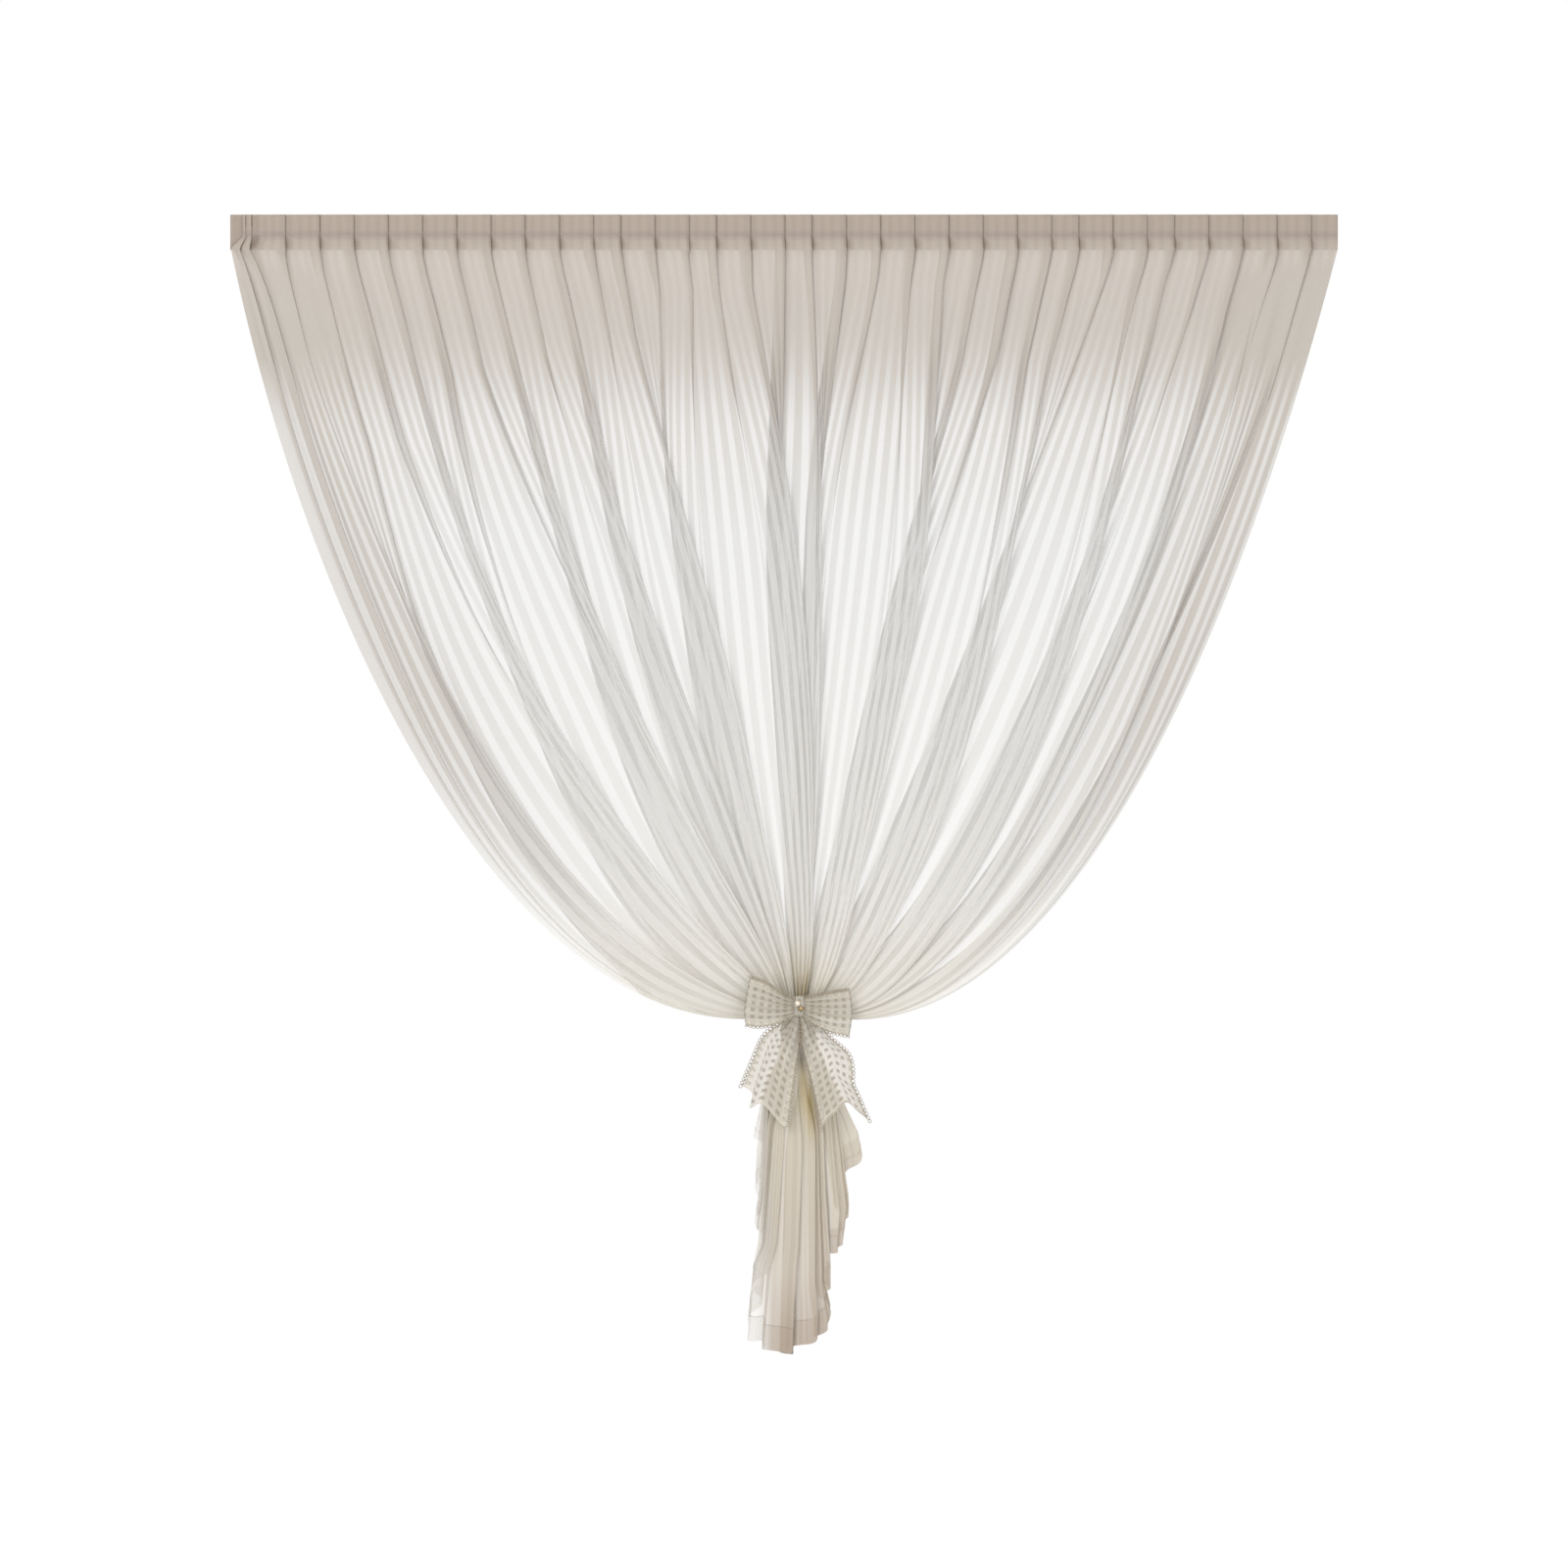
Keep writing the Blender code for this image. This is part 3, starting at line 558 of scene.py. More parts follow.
def fall_lines(place, share, along):
    """The lines from the band to the neck, as x and z. Outer ones hang like a chain, inner ones straight."""
    side = np.where(share < 0, -1.0, 1.0)
    out = np.abs(share)
    end_x = NECK_X + share * NECK_HALF_WIDTH
    hang = out**SAG_GROWTH
    pull = side_value(TOP_PULL, share) * np.tanh(PULL_SPREAD * out) / math.tanh(PULL_SPREAD)
    third_z = (NECK_TOP - BAND_BOTTOM) / 3
    upper_x = place - side * pull
    upper_z = BAND_BOTTOM + third_z * (1 - hang) - side_value(TOP_FALL, share) * hang
    lower_x = (end_x - (end_x - place) / 3) * (1 - hang)
    lower_x = lower_x + (end_x + side * side_value(LOW_REACH, share) * out) * hang
    lower_z = (NECK_TOP - third_z) * (1 - hang) + (NECK_TOP - side_value(LOW_SAG, share)) * hang
    rest = 1 - along
    a, b, c, d = rest**3, 3 * rest**2 * along, 3 * rest * along**2, along**3
    x = a * place + b * upper_x + c * lower_x + d * end_x
    return x, a * BAND_BOTTOM + b * upper_z + c * lower_z + d * NECK_TOP


def header_rows(cloth):
    """The stitched heading, flat against the band, whose pleats begin to open at its lower edge."""
    heights = BAND_TOP - np.array(HEADER_DROPS)
    below_stitch = (BAND_TOP - heights - STITCH_DROP) / (BAND_TOP - BAND_BOTTOM - STITCH_DROP)
    opened = smooth_step(0.0, 1.0, below_stitch)
    place, depth = cloth.pleated(np.zeros(len(heights)), opened, opened)
    deep = HEADER_DEPTH + (OPEN_HEADER_DEPTH - HEADER_DEPTH) * opened[:, None]
    stitched = np.exp(-(((heights - STITCH_Z) / PINCH_HALF) ** 2))[:, None]
    deep = deep * (1 - PINCH_SHARE * stitched)
    rolled = np.where(heights == BAND_TOP, TOP_ROLL, 1.0)[:, None]
    y = CLOTH_BACK - CLOTH_CLEAR - deep * rolled * (1 - depth) / 2
    z = np.repeat(heights[:, None], place.shape[1], axis=1)
    return np.stack([place - corner_flare(place) * opened[:, None], y, z], axis=-1)


def hanging(cloth, along):
    """Each line's place and depth below the heading, with the pleats opening and the big folds gathering."""
    folded, depth = cloth.pleated(along, np.exp(-along / GAPE_FADE), np.exp(-((along / CORNER_FADE) ** 2)))
    hold = cloth.pleat_hold(along)
    moved, big = cloth.big_folds(along)
    place = cloth.mean_place + (folded - cloth.mean_place) * hold + moved
    edge = np.minimum(place - CLOTH_LEFT, CLOTH_RIGHT - place)
    wander = WANDER * np.sin(math.pi * np.clip(along, 0, 1))[:, None]
    slow = np.sin(math.tau * (2.3 * cloth.even + 1.6 * along[:, None]))
    slow = slow + np.sin(math.tau * (5.1 * cloth.even - 1.1 * along[:, None] + 0.3))
    place = place + wander * slow * np.clip(edge / WANDER_EDGE, 0, 1)
    place = np.clip(place, CLOTH_LEFT, CLOTH_RIGHT)
    return place, depth * hold, big


def fan_rows(cloth, along):
    """The open pleats, drawn together from the band down to the neck."""
    place, depth, big = hanging(cloth, along)
    place = place - corner_flare(place)
    share = share_of(place)
    down = along[:, None]
    x, z = fall_lines(place, share, down)
    inside = np.clip((1 - np.abs(share)) / HANG_EDGE, 0, 1)
    x = x + (place - x) * (HANG_STRAIGHT * np.exp(-((down / HANG_SHORT) ** 2)) * inside)
    opening = smooth_step(0.0, PLEAT_FLAT, down)
    pleat_deep = OPEN_HEADER_DEPTH / 2 + (PLEAT_DEPTH - OPEN_HEADER_DEPTH / 2) * opening
    relief = depth * pleat_deep + big * BIG_DEPTH
    turns = 2 + cloth.number % 2
    wave = np.sin(math.pi * turns * cloth.value + cloth.number) * np.sin(math.pi * cloth.value)
    swing = PANEL_WAVE[0] + (PANEL_WAVE[1] - PANEL_WAVE[0]) * smooth_step(*PANEL_CALM, down)
    swing = swing * smooth_step(0.0, 0.08, down)
    relief = relief + np.where(cloth.kind == "panel", wave, 0.0) * swing
    sunk = 2 * BIG_DEPTH * smooth_step(BIG_START, BIG_SUNK, down)
    open_y = CLOTH_BACK - CLOTH_CLEAR - pleat_deep + (relief - sunk)
    neck_y = NECK_Y + neck_depth(cloth, share, big, depth, smooth_step(GATHER_FROM, 1.0, down))
    gathered = smooth_step(GATHER_ALONG, 1.0, down)
    return np.stack([x, open_y * (1 - gathered) + neck_y * gathered, z], axis=-1)


def neck_depth(cloth, share, big, depth, drawn):
    """How deep each line lies in the bunch at the neck, in big folds and in the fine gathers of the tie."""
    round_off = np.sqrt(np.clip(1 - share * share, 0.0, 1))
    gathers = np.sin(math.tau * GATHERS * cloth.even + 1.7 * np.sin(math.tau * 6.3 * cloth.even))
    fine = GATHER_SHARE * drawn
    folds = (1 - fine) * (0.75 * big + 0.25 * depth) + fine * gathers
    return NECK_HALF_DEPTH * round_off * np.clip(folds, -1, 1)


def reach_at(stations, drop):
    drops, reaches = zip(*stations)
    return np.interp(drop, drops, reaches)


def tail_line(even, drop_share):
    """One line of the tail: its reach at shares of its hem drop, layer, freedom, hem drop and side fold."""
    folds = TAIL_FOLDS[-1 if even < 0 else 1]
    out = abs(even)
    before, hem_before, stations_before = 0.0, TAIL_DROP, ((0.0, 0.0),)
    for step, (turn, hem, stations) in enumerate(folds):
        if out <= turn or step == len(folds) - 1:
            break
        before, hem_before, stations_before = turn, hem, stations
    within = min(1.0, (out - before) / (turn - before))
    own_hem = hem_before + (hem - hem_before) * within
    drop = own_hem * drop_share
    far, near = reach_at(stations, drop), reach_at(stations_before, drop)
    if step == 0:
        across = far * math.sin(math.pi / 2 * within)
        level = 1 - math.cos(math.pi / 2 * within)
        free = math.cos(math.pi / 2 * within) ** 2
    else:
        across = near + (far - near) * (1 - math.cos(math.pi * within)) / 2
        level = step + within + math.sin(math.tau * within) / math.tau
        free = math.sin(math.pi * within) ** 2
    return across * (-1 if even < 0 else 1), level, free, own_hem, step


def tail_rows(cloth, along):
    """The tail: bunched at the neck, then in side folds that step back, with soft folds in the middle."""
    place, depth, big = hanging(cloth, np.ones(len(along)))
    place = place - corner_flare(place)
    neck_share = share_of(place)
    middle = np.interp(0.0, neck_share[0], cloth.even)
    even = cloth.even - middle
    even = np.clip(np.where(even < 0, even / (1 + middle), even / (1 - middle)), -1, 1)
    lines = [tail_line(value, along) for value in even]
    across = np.stack([line[0] for line in lines], axis=1)
    level, free, hem, step = (np.array([line[part] for line in lines]) for part in range(1, 5))
    centre = step == 0
    centre_share, _, centre_stations = TAIL_FOLDS[1][0]
    down = along[:, None]
    loose = smooth_step(0.0, LOOSE_ALONG, down)
    level_in = smooth_step(0.0, LEVEL_ALONG, down)
    spread = smooth_step(LOOSE_ALONG * 0.5, OPEN_ALONG, down)
    hang = smooth_step(0.05, HANG_ALONG, down)
    share = neck_share * (1 - loose) + even * loose
    lean = TAIL_LEAN * down * (1 - np.abs(even))
    turn = math.tau * CENTRE_FOLDS * even / centre_share
    turn = turn + CENTRE_UNEVEN * np.sin(math.tau * 4.7 * even + 0.8) + 0.5 * down
    middle_reach = reach_at(centre_stations, TAIL_DROP)
    swept = -CENTRE_SWEEP * middle_reach / CENTRE_FOLDS / math.tau * np.sin(turn) * centre * free * hang
    side_turn = math.tau * SIDE_FOLDS * even + 0.9 * np.sin(math.tau * 3 * even)
    side_sway = np.where(centre, 0.0, np.sin(side_turn) * free) * hang
    side_sweep = np.where(step % 2 == 1, SIDE_SWEEP[1], SIDE_SWEEP[0])
    reach = across + lean + swept - side_sweep * side_sway
    x = NECK_X + share * NECK_HALF_WIDTH * (1 - spread) + reach * spread
    y = NECK_Y * (1 - level_in) - (TAIL_FROM_WALL + LAYER_STEP * (MOST_LEVELS - level)) * level_in
    bunched = neck_depth(cloth, share, big, depth, 1 - smooth_step(0.02, 0.16, down))
    y = y + bunched * (1 - smooth_step(0.0, 0.17, down))
    y = y + CENTRE_DEPTH * (np.sin(turn) - 0.6) * centre * free * hang + SIDE_DEPTH * side_sway
    small = np.sin(math.tau * SMALL_PLEATS * even + 2.1 * np.sin(math.tau * 3.3 * even))
    side_small = np.where(step % 2 == 1, SMALL_DEPTH[2], SMALL_DEPTH[1])
    y = y + np.where(centre, SMALL_DEPTH[0] * free, side_small) * small * smooth_step(0.04, 0.30, down)
    flutter = FLUTTER[0] * np.sin(math.tau * FLUTTER_WAVES[0] * even)
    flutter = flutter + FLUTTER[1] * np.sin(math.tau * FLUTTER_WAVES[1] * even)
    z = NECK_BOTTOM - hem * down + flutter * smooth_step(0.5, 1.0, down)
    return np.stack([x, y, z], axis=-1)


def curtain_cloth():
    """The whole curtain as one fine sheet, from the heading's folded top edge to the hem."""
    cloth = Cloth()
    fan_along = np.linspace(0, 1, FAN_STEPS + 1) ** 1.12
    tail_along = np.linspace(0, 1, TAIL_STEPS + 1)
    header = header_rows(cloth)
    points = np.concatenate([header, fan_rows(cloth, fan_along), tail_rows(cloth, tail_along)])
    rows, count = points.shape[:2]
    steps = np.linalg.norm(np.diff(points, axis=0), axis=-1)
    down = np.concatenate([np.zeros((1, count)), np.cumsum(steps, axis=0)])
    down = down * (CLOTH_LENGTH / down[-1])
    flat = cloth.flat * (CLOTH_WIDTH / cloth.width)
    uv = np.stack([np.broadcast_to(flat, (rows, count)), down], axis=-1)
    obj = add_grid("curtain_cloth", points, uv)
    add_values(obj, "tuck_shade", tuck_values(cloth, rows))
    add_values(obj, "edge", side_shade_values(cloth, rows, fan_along))
    add_values(obj, "under_knot_shade", under_knot_shade_values(cloth, rows, tail_along))
    seam = points[HEADER_DROPS.index(STITCH_DROP)] + (0, -THREAD_RADIUS, 0)
    hem_row = rows - 1 - int(round(HEM_DEPTH / (TAIL_DROP / TAIL_STEPS)))
    return obj, seam, points[hem_row] + (0, -THREAD_RADIUS, 0)


def tuck_values(cloth, rows):
    """How much of a pleat's shade lies on each point, in the heading and in the rows just below it."""
    drops, heading = np.array(HEADER_DROPS), len(HEADER_DROPS)
    widen = np.full(rows, TUCK_WIDE)
    opened = smooth_step(STITCH_DROP, TUCK_WIDE_DROP, drops)
    widen[:heading] = TUCK_NARROW + (TUCK_WIDE - TUCK_NARROW) * opened
    reach = np.clip((cloth.value - TUCKED_SHARE) / widen[:, None], 0, 1)
    under = np.where(cloth.kind == "panel", 1 - reach, TUCK_IN_FOLD)
    under = np.where(cloth.number == 0, 0.0, under)
    fade = np.empty(rows)
    fade[heading:] = np.exp(-np.arange(rows - heading) / TUCK_ROWS)
    fade[:heading] = np.where(drops > STITCH_DROP, TUCK_UNDER_STITCH, TUCK_IN_HEADER)
    return under * fade[:, None]


def side_shade_values(cloth, rows, fan_along):
    """How much warm painted shade each point has near the sides, as of a dim wall behind the sheer cloth. It
    fades out down both sides of the fan.
    """
    fan = slice(len(HEADER_DROPS), len(HEADER_DROPS) + len(fan_along))
    left_fade = 1 - smooth_step(*SIDE_SHADE_FADE[-1], fan_along)
    right_fade = 1 - smooth_step(*SIDE_SHADE_FADE[1], fan_along)
    edge = np.zeros((rows, len(cloth.even)))
    edge[fan] = smooth_step(SIDE_SHADE_FROM, 0.97, np.abs(cloth.even))
    edge[fan] *= np.where(cloth.even < 0, left_fade[:, None], right_fade[:, None])
    edge[fan] *= smooth_step(0.0, 0.05, fan_along)[:, None]
    return edge


def under_knot_shade_values(cloth, rows, tail_along):
    """How much warm painted shade each point has: the middle of the tail has it, in the hollow just below the
    neck, under the knot.
    """
    first = rows - len(tail_along)
    under_knot_shade = np.zeros((rows, len(cloth.even)))
    under_knot_fade = 1 - smooth_step(*UNDER_KNOT_ALONG, tail_along)
    under_knot_shade[first:] = under_knot_fade[:, None] * (1 - smooth_step(*UNDER_KNOT_OUT, np.abs(cloth.even)))
    under_knot_shade[first - UNDER_KNOT_ROWS:first] = np.linspace(0, 1, UNDER_KNOT_ROWS)[:, None] * under_knot_shade[first]
    return under_knot_shade


def through(places, steps):
    """Evenly spaced points on a smooth curve through a few places given in millimetres across and up."""
    places = np.array(places, dtype=float) / 1000
    padded = np.concatenate([[2 * places[0] - places[1]], places, [2 * places[-1] - places[-2]]])
    fine = []
    for a, b, c, d in zip(padded, padded[1:], padded[2:], padded[3:]):
        t = np.linspace(0, 1, 16, endpoint=False)[:, None]
        bend = (2 * a - 5 * b + 4 * c - d) * t * t + (3 * b - a - 3 * c + d) * t**3
        fine.append(0.5 * (2 * b + (c - a) * t + bend))
    fine = np.concatenate([*fine, places[-1:]])
    run = np.concatenate([[0], np.cumsum(np.linalg.norm(np.diff(fine, axis=0), axis=1))])
    even = np.linspace(0, run[-1], steps)
    return np.stack([np.interp(even, run, fine[:, axis]) for axis in (0, 1)], axis=-1)


def patch(one, two, far, rows, columns):
    """Places between two long edges that leave the knot and the far edge that joins their ends."""
    one, two, far = through(one, rows), through(two, rows), through(far, columns)
    along = np.linspace(0, 1, rows)[:, None, None]
    across = np.linspace(0, 1, columns)[None, :, None]
    near = one[0] * (1 - across) + two[0] * across
    ruled = one[:, None] * (1 - across) + two[:, None] * across
    lofted = near * (1 - along) + far[None] * along
    corners = near * (1 - along) + (one[-1] * (1 - across) + two[-1] * across) * along
    return ruled + lofted - corners


def ribbon_piece(name, flat_places, depths, length, mirrored, cut_foot=False, cut=(0.0, RIBBON_WIDTH)):
    """A piece of ribbon from places across and up and their depths, with its true width and length as UV."""
    rows, columns = flat_places.shape[:2]
    points = np.stack([BOW_X + flat_places[..., 0], depths, BOW_Z + flat_places[..., 1]], axis=-1)
    across, along = np.meshgrid(np.linspace(*cut, columns), np.linspace(0, length, rows))
    obj = add_grid(name, points, np.stack([across, along], axis=-1), mirrored)
    add_values(obj, "foot", length - along if cut_foot else np.full(along.shape, RIBBON_WIDTH))
    return obj, [points[:, 0], points[:, -1]]


def bow_loop(side):
    """One loop: its front leaves the knot in fine gathers, turns at the outer edge and comes back behind."""
    top, bottom, outer = LOOP_EDGES[side]
    rows, columns = 40, 61
    front = patch(top, bottom, outer, rows, columns)
    along = np.linspace(0, 1, rows)[:, None]
    across = np.linspace(0, 1, columns)
    gather = LOOP_FOLD * np.cos(math.tau * 5 * across + 2.2 * np.sin(3 * across)) * (1 - 0.75 * along)
    puff = LOOP_PUFF * np.sin(math.pi * (0.08 + 0.92 * along)) ** 0.8
    front_y = BOW_FRONT - puff - gather * smooth_step(0, 0.25, along)
    back = front[::-1][1:] * (1.0, 0.94)
    back_along = along[::-1][1:]
    turn = smooth_step(0.80, 1.0, back_along)
    back_y = LOOP_BACK + 0.0 * across - 0.3 * LOOP_PUFF * np.sin(math.pi * back_along)
    back_y = back_y * (1 - turn) + front_y[-1] * turn
    places = np.concatenate([front, back])
    depths = np.concatenate([front_y, np.broadcast_to(back_y, back.shape[:2])])
    length = 2 * LOOP_LENGTH
    return *ribbon_piece("bow_loop_" + side, places, depths, length, side == "right"), length


def bow_end(side):
    """One hanging end, gathered at the knot and forked at its foot."""
    outer, inner, foot = END_EDGES[side]
    rows, columns = 56, 57
    places = patch(outer, inner, foot, rows, columns)
    along = np.linspace(0, 1, rows)[:, None]
    across = np.linspace(0, 1, columns)
    fold = np.cos(math.tau * 2.6 * across + 1.6 * along) + 0.4 * np.cos(math.tau * 6 * across) * (1 - along)
    loose = smooth_step(0, END_LOOSE, along)
    depths = END_FRONT + END_TUCKED * (1 - loose) - END_FOLD * fold * loose
    length = np.linalg.norm(np.diff(through(inner, rows), axis=0), axis=1).sum()
    return *ribbon_piece("bow_end_" + side, places, depths, length, side == "right", cut_foot=True), length


def bow_knot():
    """The gathered middle of the bow: a piece of ribbon rounded over the roots of the loops."""
    rows, columns = 28, 37
    up = np.linspace(-1, 1, rows)[:, None]
    turn = np.linspace(-math.pi / 2, math.pi / 2, columns)
    waist = KNOT_HALF_WIDTH * (1 - KNOT_WAIST * up**4)
    pleat = 1 + 0.10 * np.cos(9 * turn + 1.5 * up)
    x = waist * np.sin(turn) * pleat
    round_in = np.sqrt(np.clip(1 - (KNOT_ROUND * up) ** 2, 0, 1))
    depth = BOW_FRONT - KNOT_DEPTH * np.cos(turn) * pleat * round_in
    places = np.stack([x, -KNOT_HALF_HEIGHT * up + 0 * x - KNOT_LOW], axis=-1)
    return ribbon_piece("bow_knot", places, depth, 2 * KNOT_HALF_HEIGHT, False, cut=KNOT_CUT)[0]


def bow_ring():
    """The narrow band of ribbon round the neck of the curtain."""
    columns, rows = 97, 9
    turn = np.linspace(0, math.tau, columns)
    up = np.linspace(1, -1, rows)[:, None]
    swell = 1 + 0.02 * np.cos(13 * turn)
    x = NECK_X + (NECK_HALF_WIDTH + RING_CLEAR) * np.sin(turn) * swell + 0 * up
    y = NECK_Y - (NECK_HALF_DEPTH + RING_CLEAR) * np.cos(turn) * swell + 0 * up
    y = np.minimum(y, RING_BACK)
    z = (NECK_TOP + NECK_BOTTOM) / 2 + RING_RAISED + RING_HALF_HEIGHT * up + 0 * turn
    points = np.stack([x, y, z], axis=-1)
    around = np.linspace(0, math.tau * NECK_HALF_WIDTH, columns)
    across, along = np.meshgrid(around, np.linspace(0, 2 * RING_HALF_HEIGHT, rows))
    uv = np.stack([0.3 * RIBBON_WIDTH + along, across], axis=-1)
    obj = add_grid("bow_ring", points, uv)
    add_values(obj, "foot", np.full((rows, columns), RIBBON_WIDTH))
    return obj


class Nodes:
    """Short calls for building a node tree. A socket, a number, a place or a colour may feed an input."""

    def __init__(self, tree):
        self.tree = tree

    def add(self, kind, fed=None, **settings):
        """A node with its settings, and with what feeds its inputs, by their names or numbers."""
        node = self.tree.nodes.new(kind)
        for name, value in settings.items():
            setattr(node, name, value)
        self.feed(node, fed or {})
        return node

    def feed(self, node, fed):
        for key, value in fed.items():
            if isinstance(value, bpy.types.NodeSocket):
                self.tree.links.new(value, node.inputs[key])
            else:
                node.inputs[key].default_value = value

    def math(self, operation, *values, clamp=False):
        fed = dict(enumerate(values))
        return self.add("ShaderNodeMath", fed, operation=operation, use_clamp=clamp).outputs[0]

    def times(self, one, two):
        return self.math("MULTIPLY", one, two)

    def rest(self, share):
        """What a share leaves of one."""
        return self.math("SUBTRACT", 1.0, share)

    def mix(self, factor, one, two):
        """A mix of two colours."""
        return self.add("ShaderNodeMix", {0: factor, 6: one, 7: two}, data_type="RGBA").outputs[2]

    def blend(self, factor, one, two):
        """A mix of two numbers."""
        return self.add("ShaderNodeMix", {0: factor, 2: one, 3: two}, data_type="FLOAT").outputs[0]

    def layers(self, colour, layers):
        """A colour turned towards others in turn, each as (where, how strongly, screen colour)."""
        for where, strength, other in layers:
            colour = self.mix(self.times(where, strength), colour, srgb(*other))
        return colour

    def step(self, value, low, high):
        """0 below low and 1 above high, smooth between them."""
        fed = {"Value": value, "From Min": low, "From Max": high}
        return self.add("ShaderNodeMapRange", fed, interpolation_type="SMOOTHSTEP").outputs["Result"]

    def off_middle(self, value, pitch):
        """How far a value is from the middle of its repeat, as a share of the repeat."""
        phase = self.math("FRACT", self.math("DIVIDE", value, pitch))
        return self.math("ABSOLUTE", self.math("SUBTRACT", phase, 0.5))

    def noise(self, vector, scale, detail=2.0):
        fed = {"Vector": vector, "Scale": scale, "Detail": detail}
        return self.add("ShaderNodeTexNoise", fed).outputs["Fac"]

    def stretched(self, vector, scale):
        return self.add("ShaderNodeMapping", {"Vector": vector, "Scale": scale}).outputs["Vector"]

    def split(self, vector):
        """A place as its three numbers."""
        return self.add("ShaderNodeSeparateXYZ", {0: vector}).outputs

    def place(self):
        return self.add("ShaderNodeTexCoord").outputs["Object"]

    def cut_place(self):
        """The place on the cloth as it was cut, in metres across and down."""
        return self.add("ShaderNodeUVMap", uv_map="UVMap").outputs["UV"]

    def point_value(self, name):
        """A number that add_values gave to each point."""
        return self.add("ShaderNodeAttribute", attribute_name=name).outputs["Fac"]

    def bump(self, height, depth, strength):
        fed = {"Strength": strength, "Distance": depth, "Height": height}
        return self.add("ShaderNodeBump", fed).outputs["Normal"]


def node_group(name, kind, inputs, outputs):
    """An empty node group with named sockets. Inputs are (name, type, value) and outputs (name, type)."""
    tree = bpy.data.node_groups.new(name, kind)
    for label, socket_type, value in inputs:
        socket = tree.interface.new_socket(label, in_out="INPUT", socket_type=socket_type)
        if value is not None:
            socket.default_value = value
    for label, socket_type in outputs:
        tree.interface.new_socket(label, in_out="OUTPUT", socket_type=socket_type)
    n = Nodes(tree)
    return tree, n, n.add("NodeGroupInput").outputs, n.add("NodeGroupOutput")


def thread_shape(name, radius, length, ring):
    """A group that sets small thread shapes along a line: rings for a picot edge, or straight stitches."""
    tree, n, given, result = node_group(
        name,
        "GeometryNodeTree",
        (
            ("Geometry", "NodeSocketGeometry", None),
            ("Spacing", "NodeSocketFloat", PICOT_SPACING),
            ("Material", "NodeSocketMaterial", None),
        ),
        (("Geometry", "NodeSocketGeometry"),),
    )
    line = n.add("GeometryNodeMeshToCurve", {"Mesh": given["Geometry"]}).outputs[0]
    spaced = n.add("GeometryNodeResampleCurve", {"Curve": line, "Length": given["Spacing"]}, mode="LENGTH")
    if ring:
        path = n.add("GeometryNodeCurvePrimitiveCircle", {"Resolution": 10, "Radius": length}).outputs[0]
    else:
        ends = {"Start": (-length / 2, 0, 0), "End": (length / 2, 0, 0)}
        path = n.add("GeometryNodeCurvePrimitiveLine", ends).outputs[0]
    section = n.add("GeometryNodeCurvePrimitiveCircle", {"Resolution": 5, "Radius": radius}).outputs[0]
    sewn = n.add("GeometryNodeCurveToMesh", {"Curve": path, "Profile Curve": section, "Fill Caps": True})
    tangent = n.add("GeometryNodeInputTangent").outputs[0]
    turned = n.add("FunctionNodeAlignEulerToVector", {"Vector": tangent}, axis="X").outputs[0]
    if ring:
        fed = {"Rotation": turned, "Vector": (0, -1, 0)}
        turned = n.add("FunctionNodeAlignEulerToVector", fed, axis="Z", pivot_axis="X").outputs[0]
    fed = {"Points": spaced.outputs[0], "Instance": sewn.outputs[0], "Rotation": turned}
    placed = n.add("GeometryNodeInstanceOnPoints", fed).outputs[0]
    whole = n.add("GeometryNodeRealizeInstances", {0: placed}).outputs[0]
    dressed = n.add("GeometryNodeSetMaterial", {"Geometry": whole, "Material": given["Material"]})
    n.feed(result, {"Geometry": dressed.outputs[0]})
    return tree


def sewn_along(name, lines, tree, spacing, material):
    """Thread shapes set along lines of points, turned into a plain mesh."""
    points, edges = [], []
    for line in lines:
        start = len(points)
        points += [tuple(p) for p in line]
        edges += [(start + k, start + k + 1) for k in range(len(line) - 1)]
    mesh = bpy.data.meshes.new(name + "_line")
    mesh.from_pydata(points, edges, [])
    guide = in_scene(name + "_line", mesh)
    modifier = guide.modifiers.new("threads", "NODES")
    modifier.node_group = tree
    sockets = {item.name: item.identifier for item in tree.interface.items_tree if item.in_out == "INPUT"}
    modifier[sockets["Spacing"]] = spacing
    modifier[sockets["Material"]] = material
    evaluated = guide.evaluated_get(bpy.context.evaluated_depsgraph_get())
    made = bpy.data.meshes.new_from_object(evaluated)
    made.name = name
    obj = in_scene(name, made)
    bpy.data.objects.remove(guide)
    if not made.materials:
        made.materials.append(material)
    made.shade_smooth()
    return obj


def srgb(red, green, blue):
    """A colour written as 0 to 255 screen values, as the linear numbers that a shader takes."""
    return tuple(
        (value / 255 / 12.92 if value <= 10 else ((value / 255 + 0.055) / 1.055) ** 2.4)
        for value in (red, green, blue)
    ) + (1.0,)


def darker(colour, share):
    return tuple(c * share for c in colour[:3]) + (1.0,)


def weave_group():
    """Fine plain weave: slubs along and across the cloth, as a tint and a height."""
    tree, n, given, result = node_group(
        "plain_weave",
        "ShaderNodeTree",
        (("Place", "NodeSocketVector", None), ("Threads", "NodeSocketFloat", VOILE_THREADS)),
        (("Tint", "NodeSocketFloat"), ("Height", "NodeSocketFloat")),
    )
    parts = n.split(given["Place"])
    along = n.noise(n.stretched(given["Place"], (1.0, 0.04, 1.0)), SLUBS)
    across = n.noise(n.stretched(given["Place"], (0.04, 1.0, 1.0)), SLUBS)
    warp, weft = (n.math("SINE", n.times(parts[axis], given["Threads"])) for axis in (0, 1))
    tint = n.math("ADD", n.times(along, 0.5), n.times(across, 0.5))
    n.feed(result, {"Tint": tint, "Height": n.times(warp, weft)})
    return tree


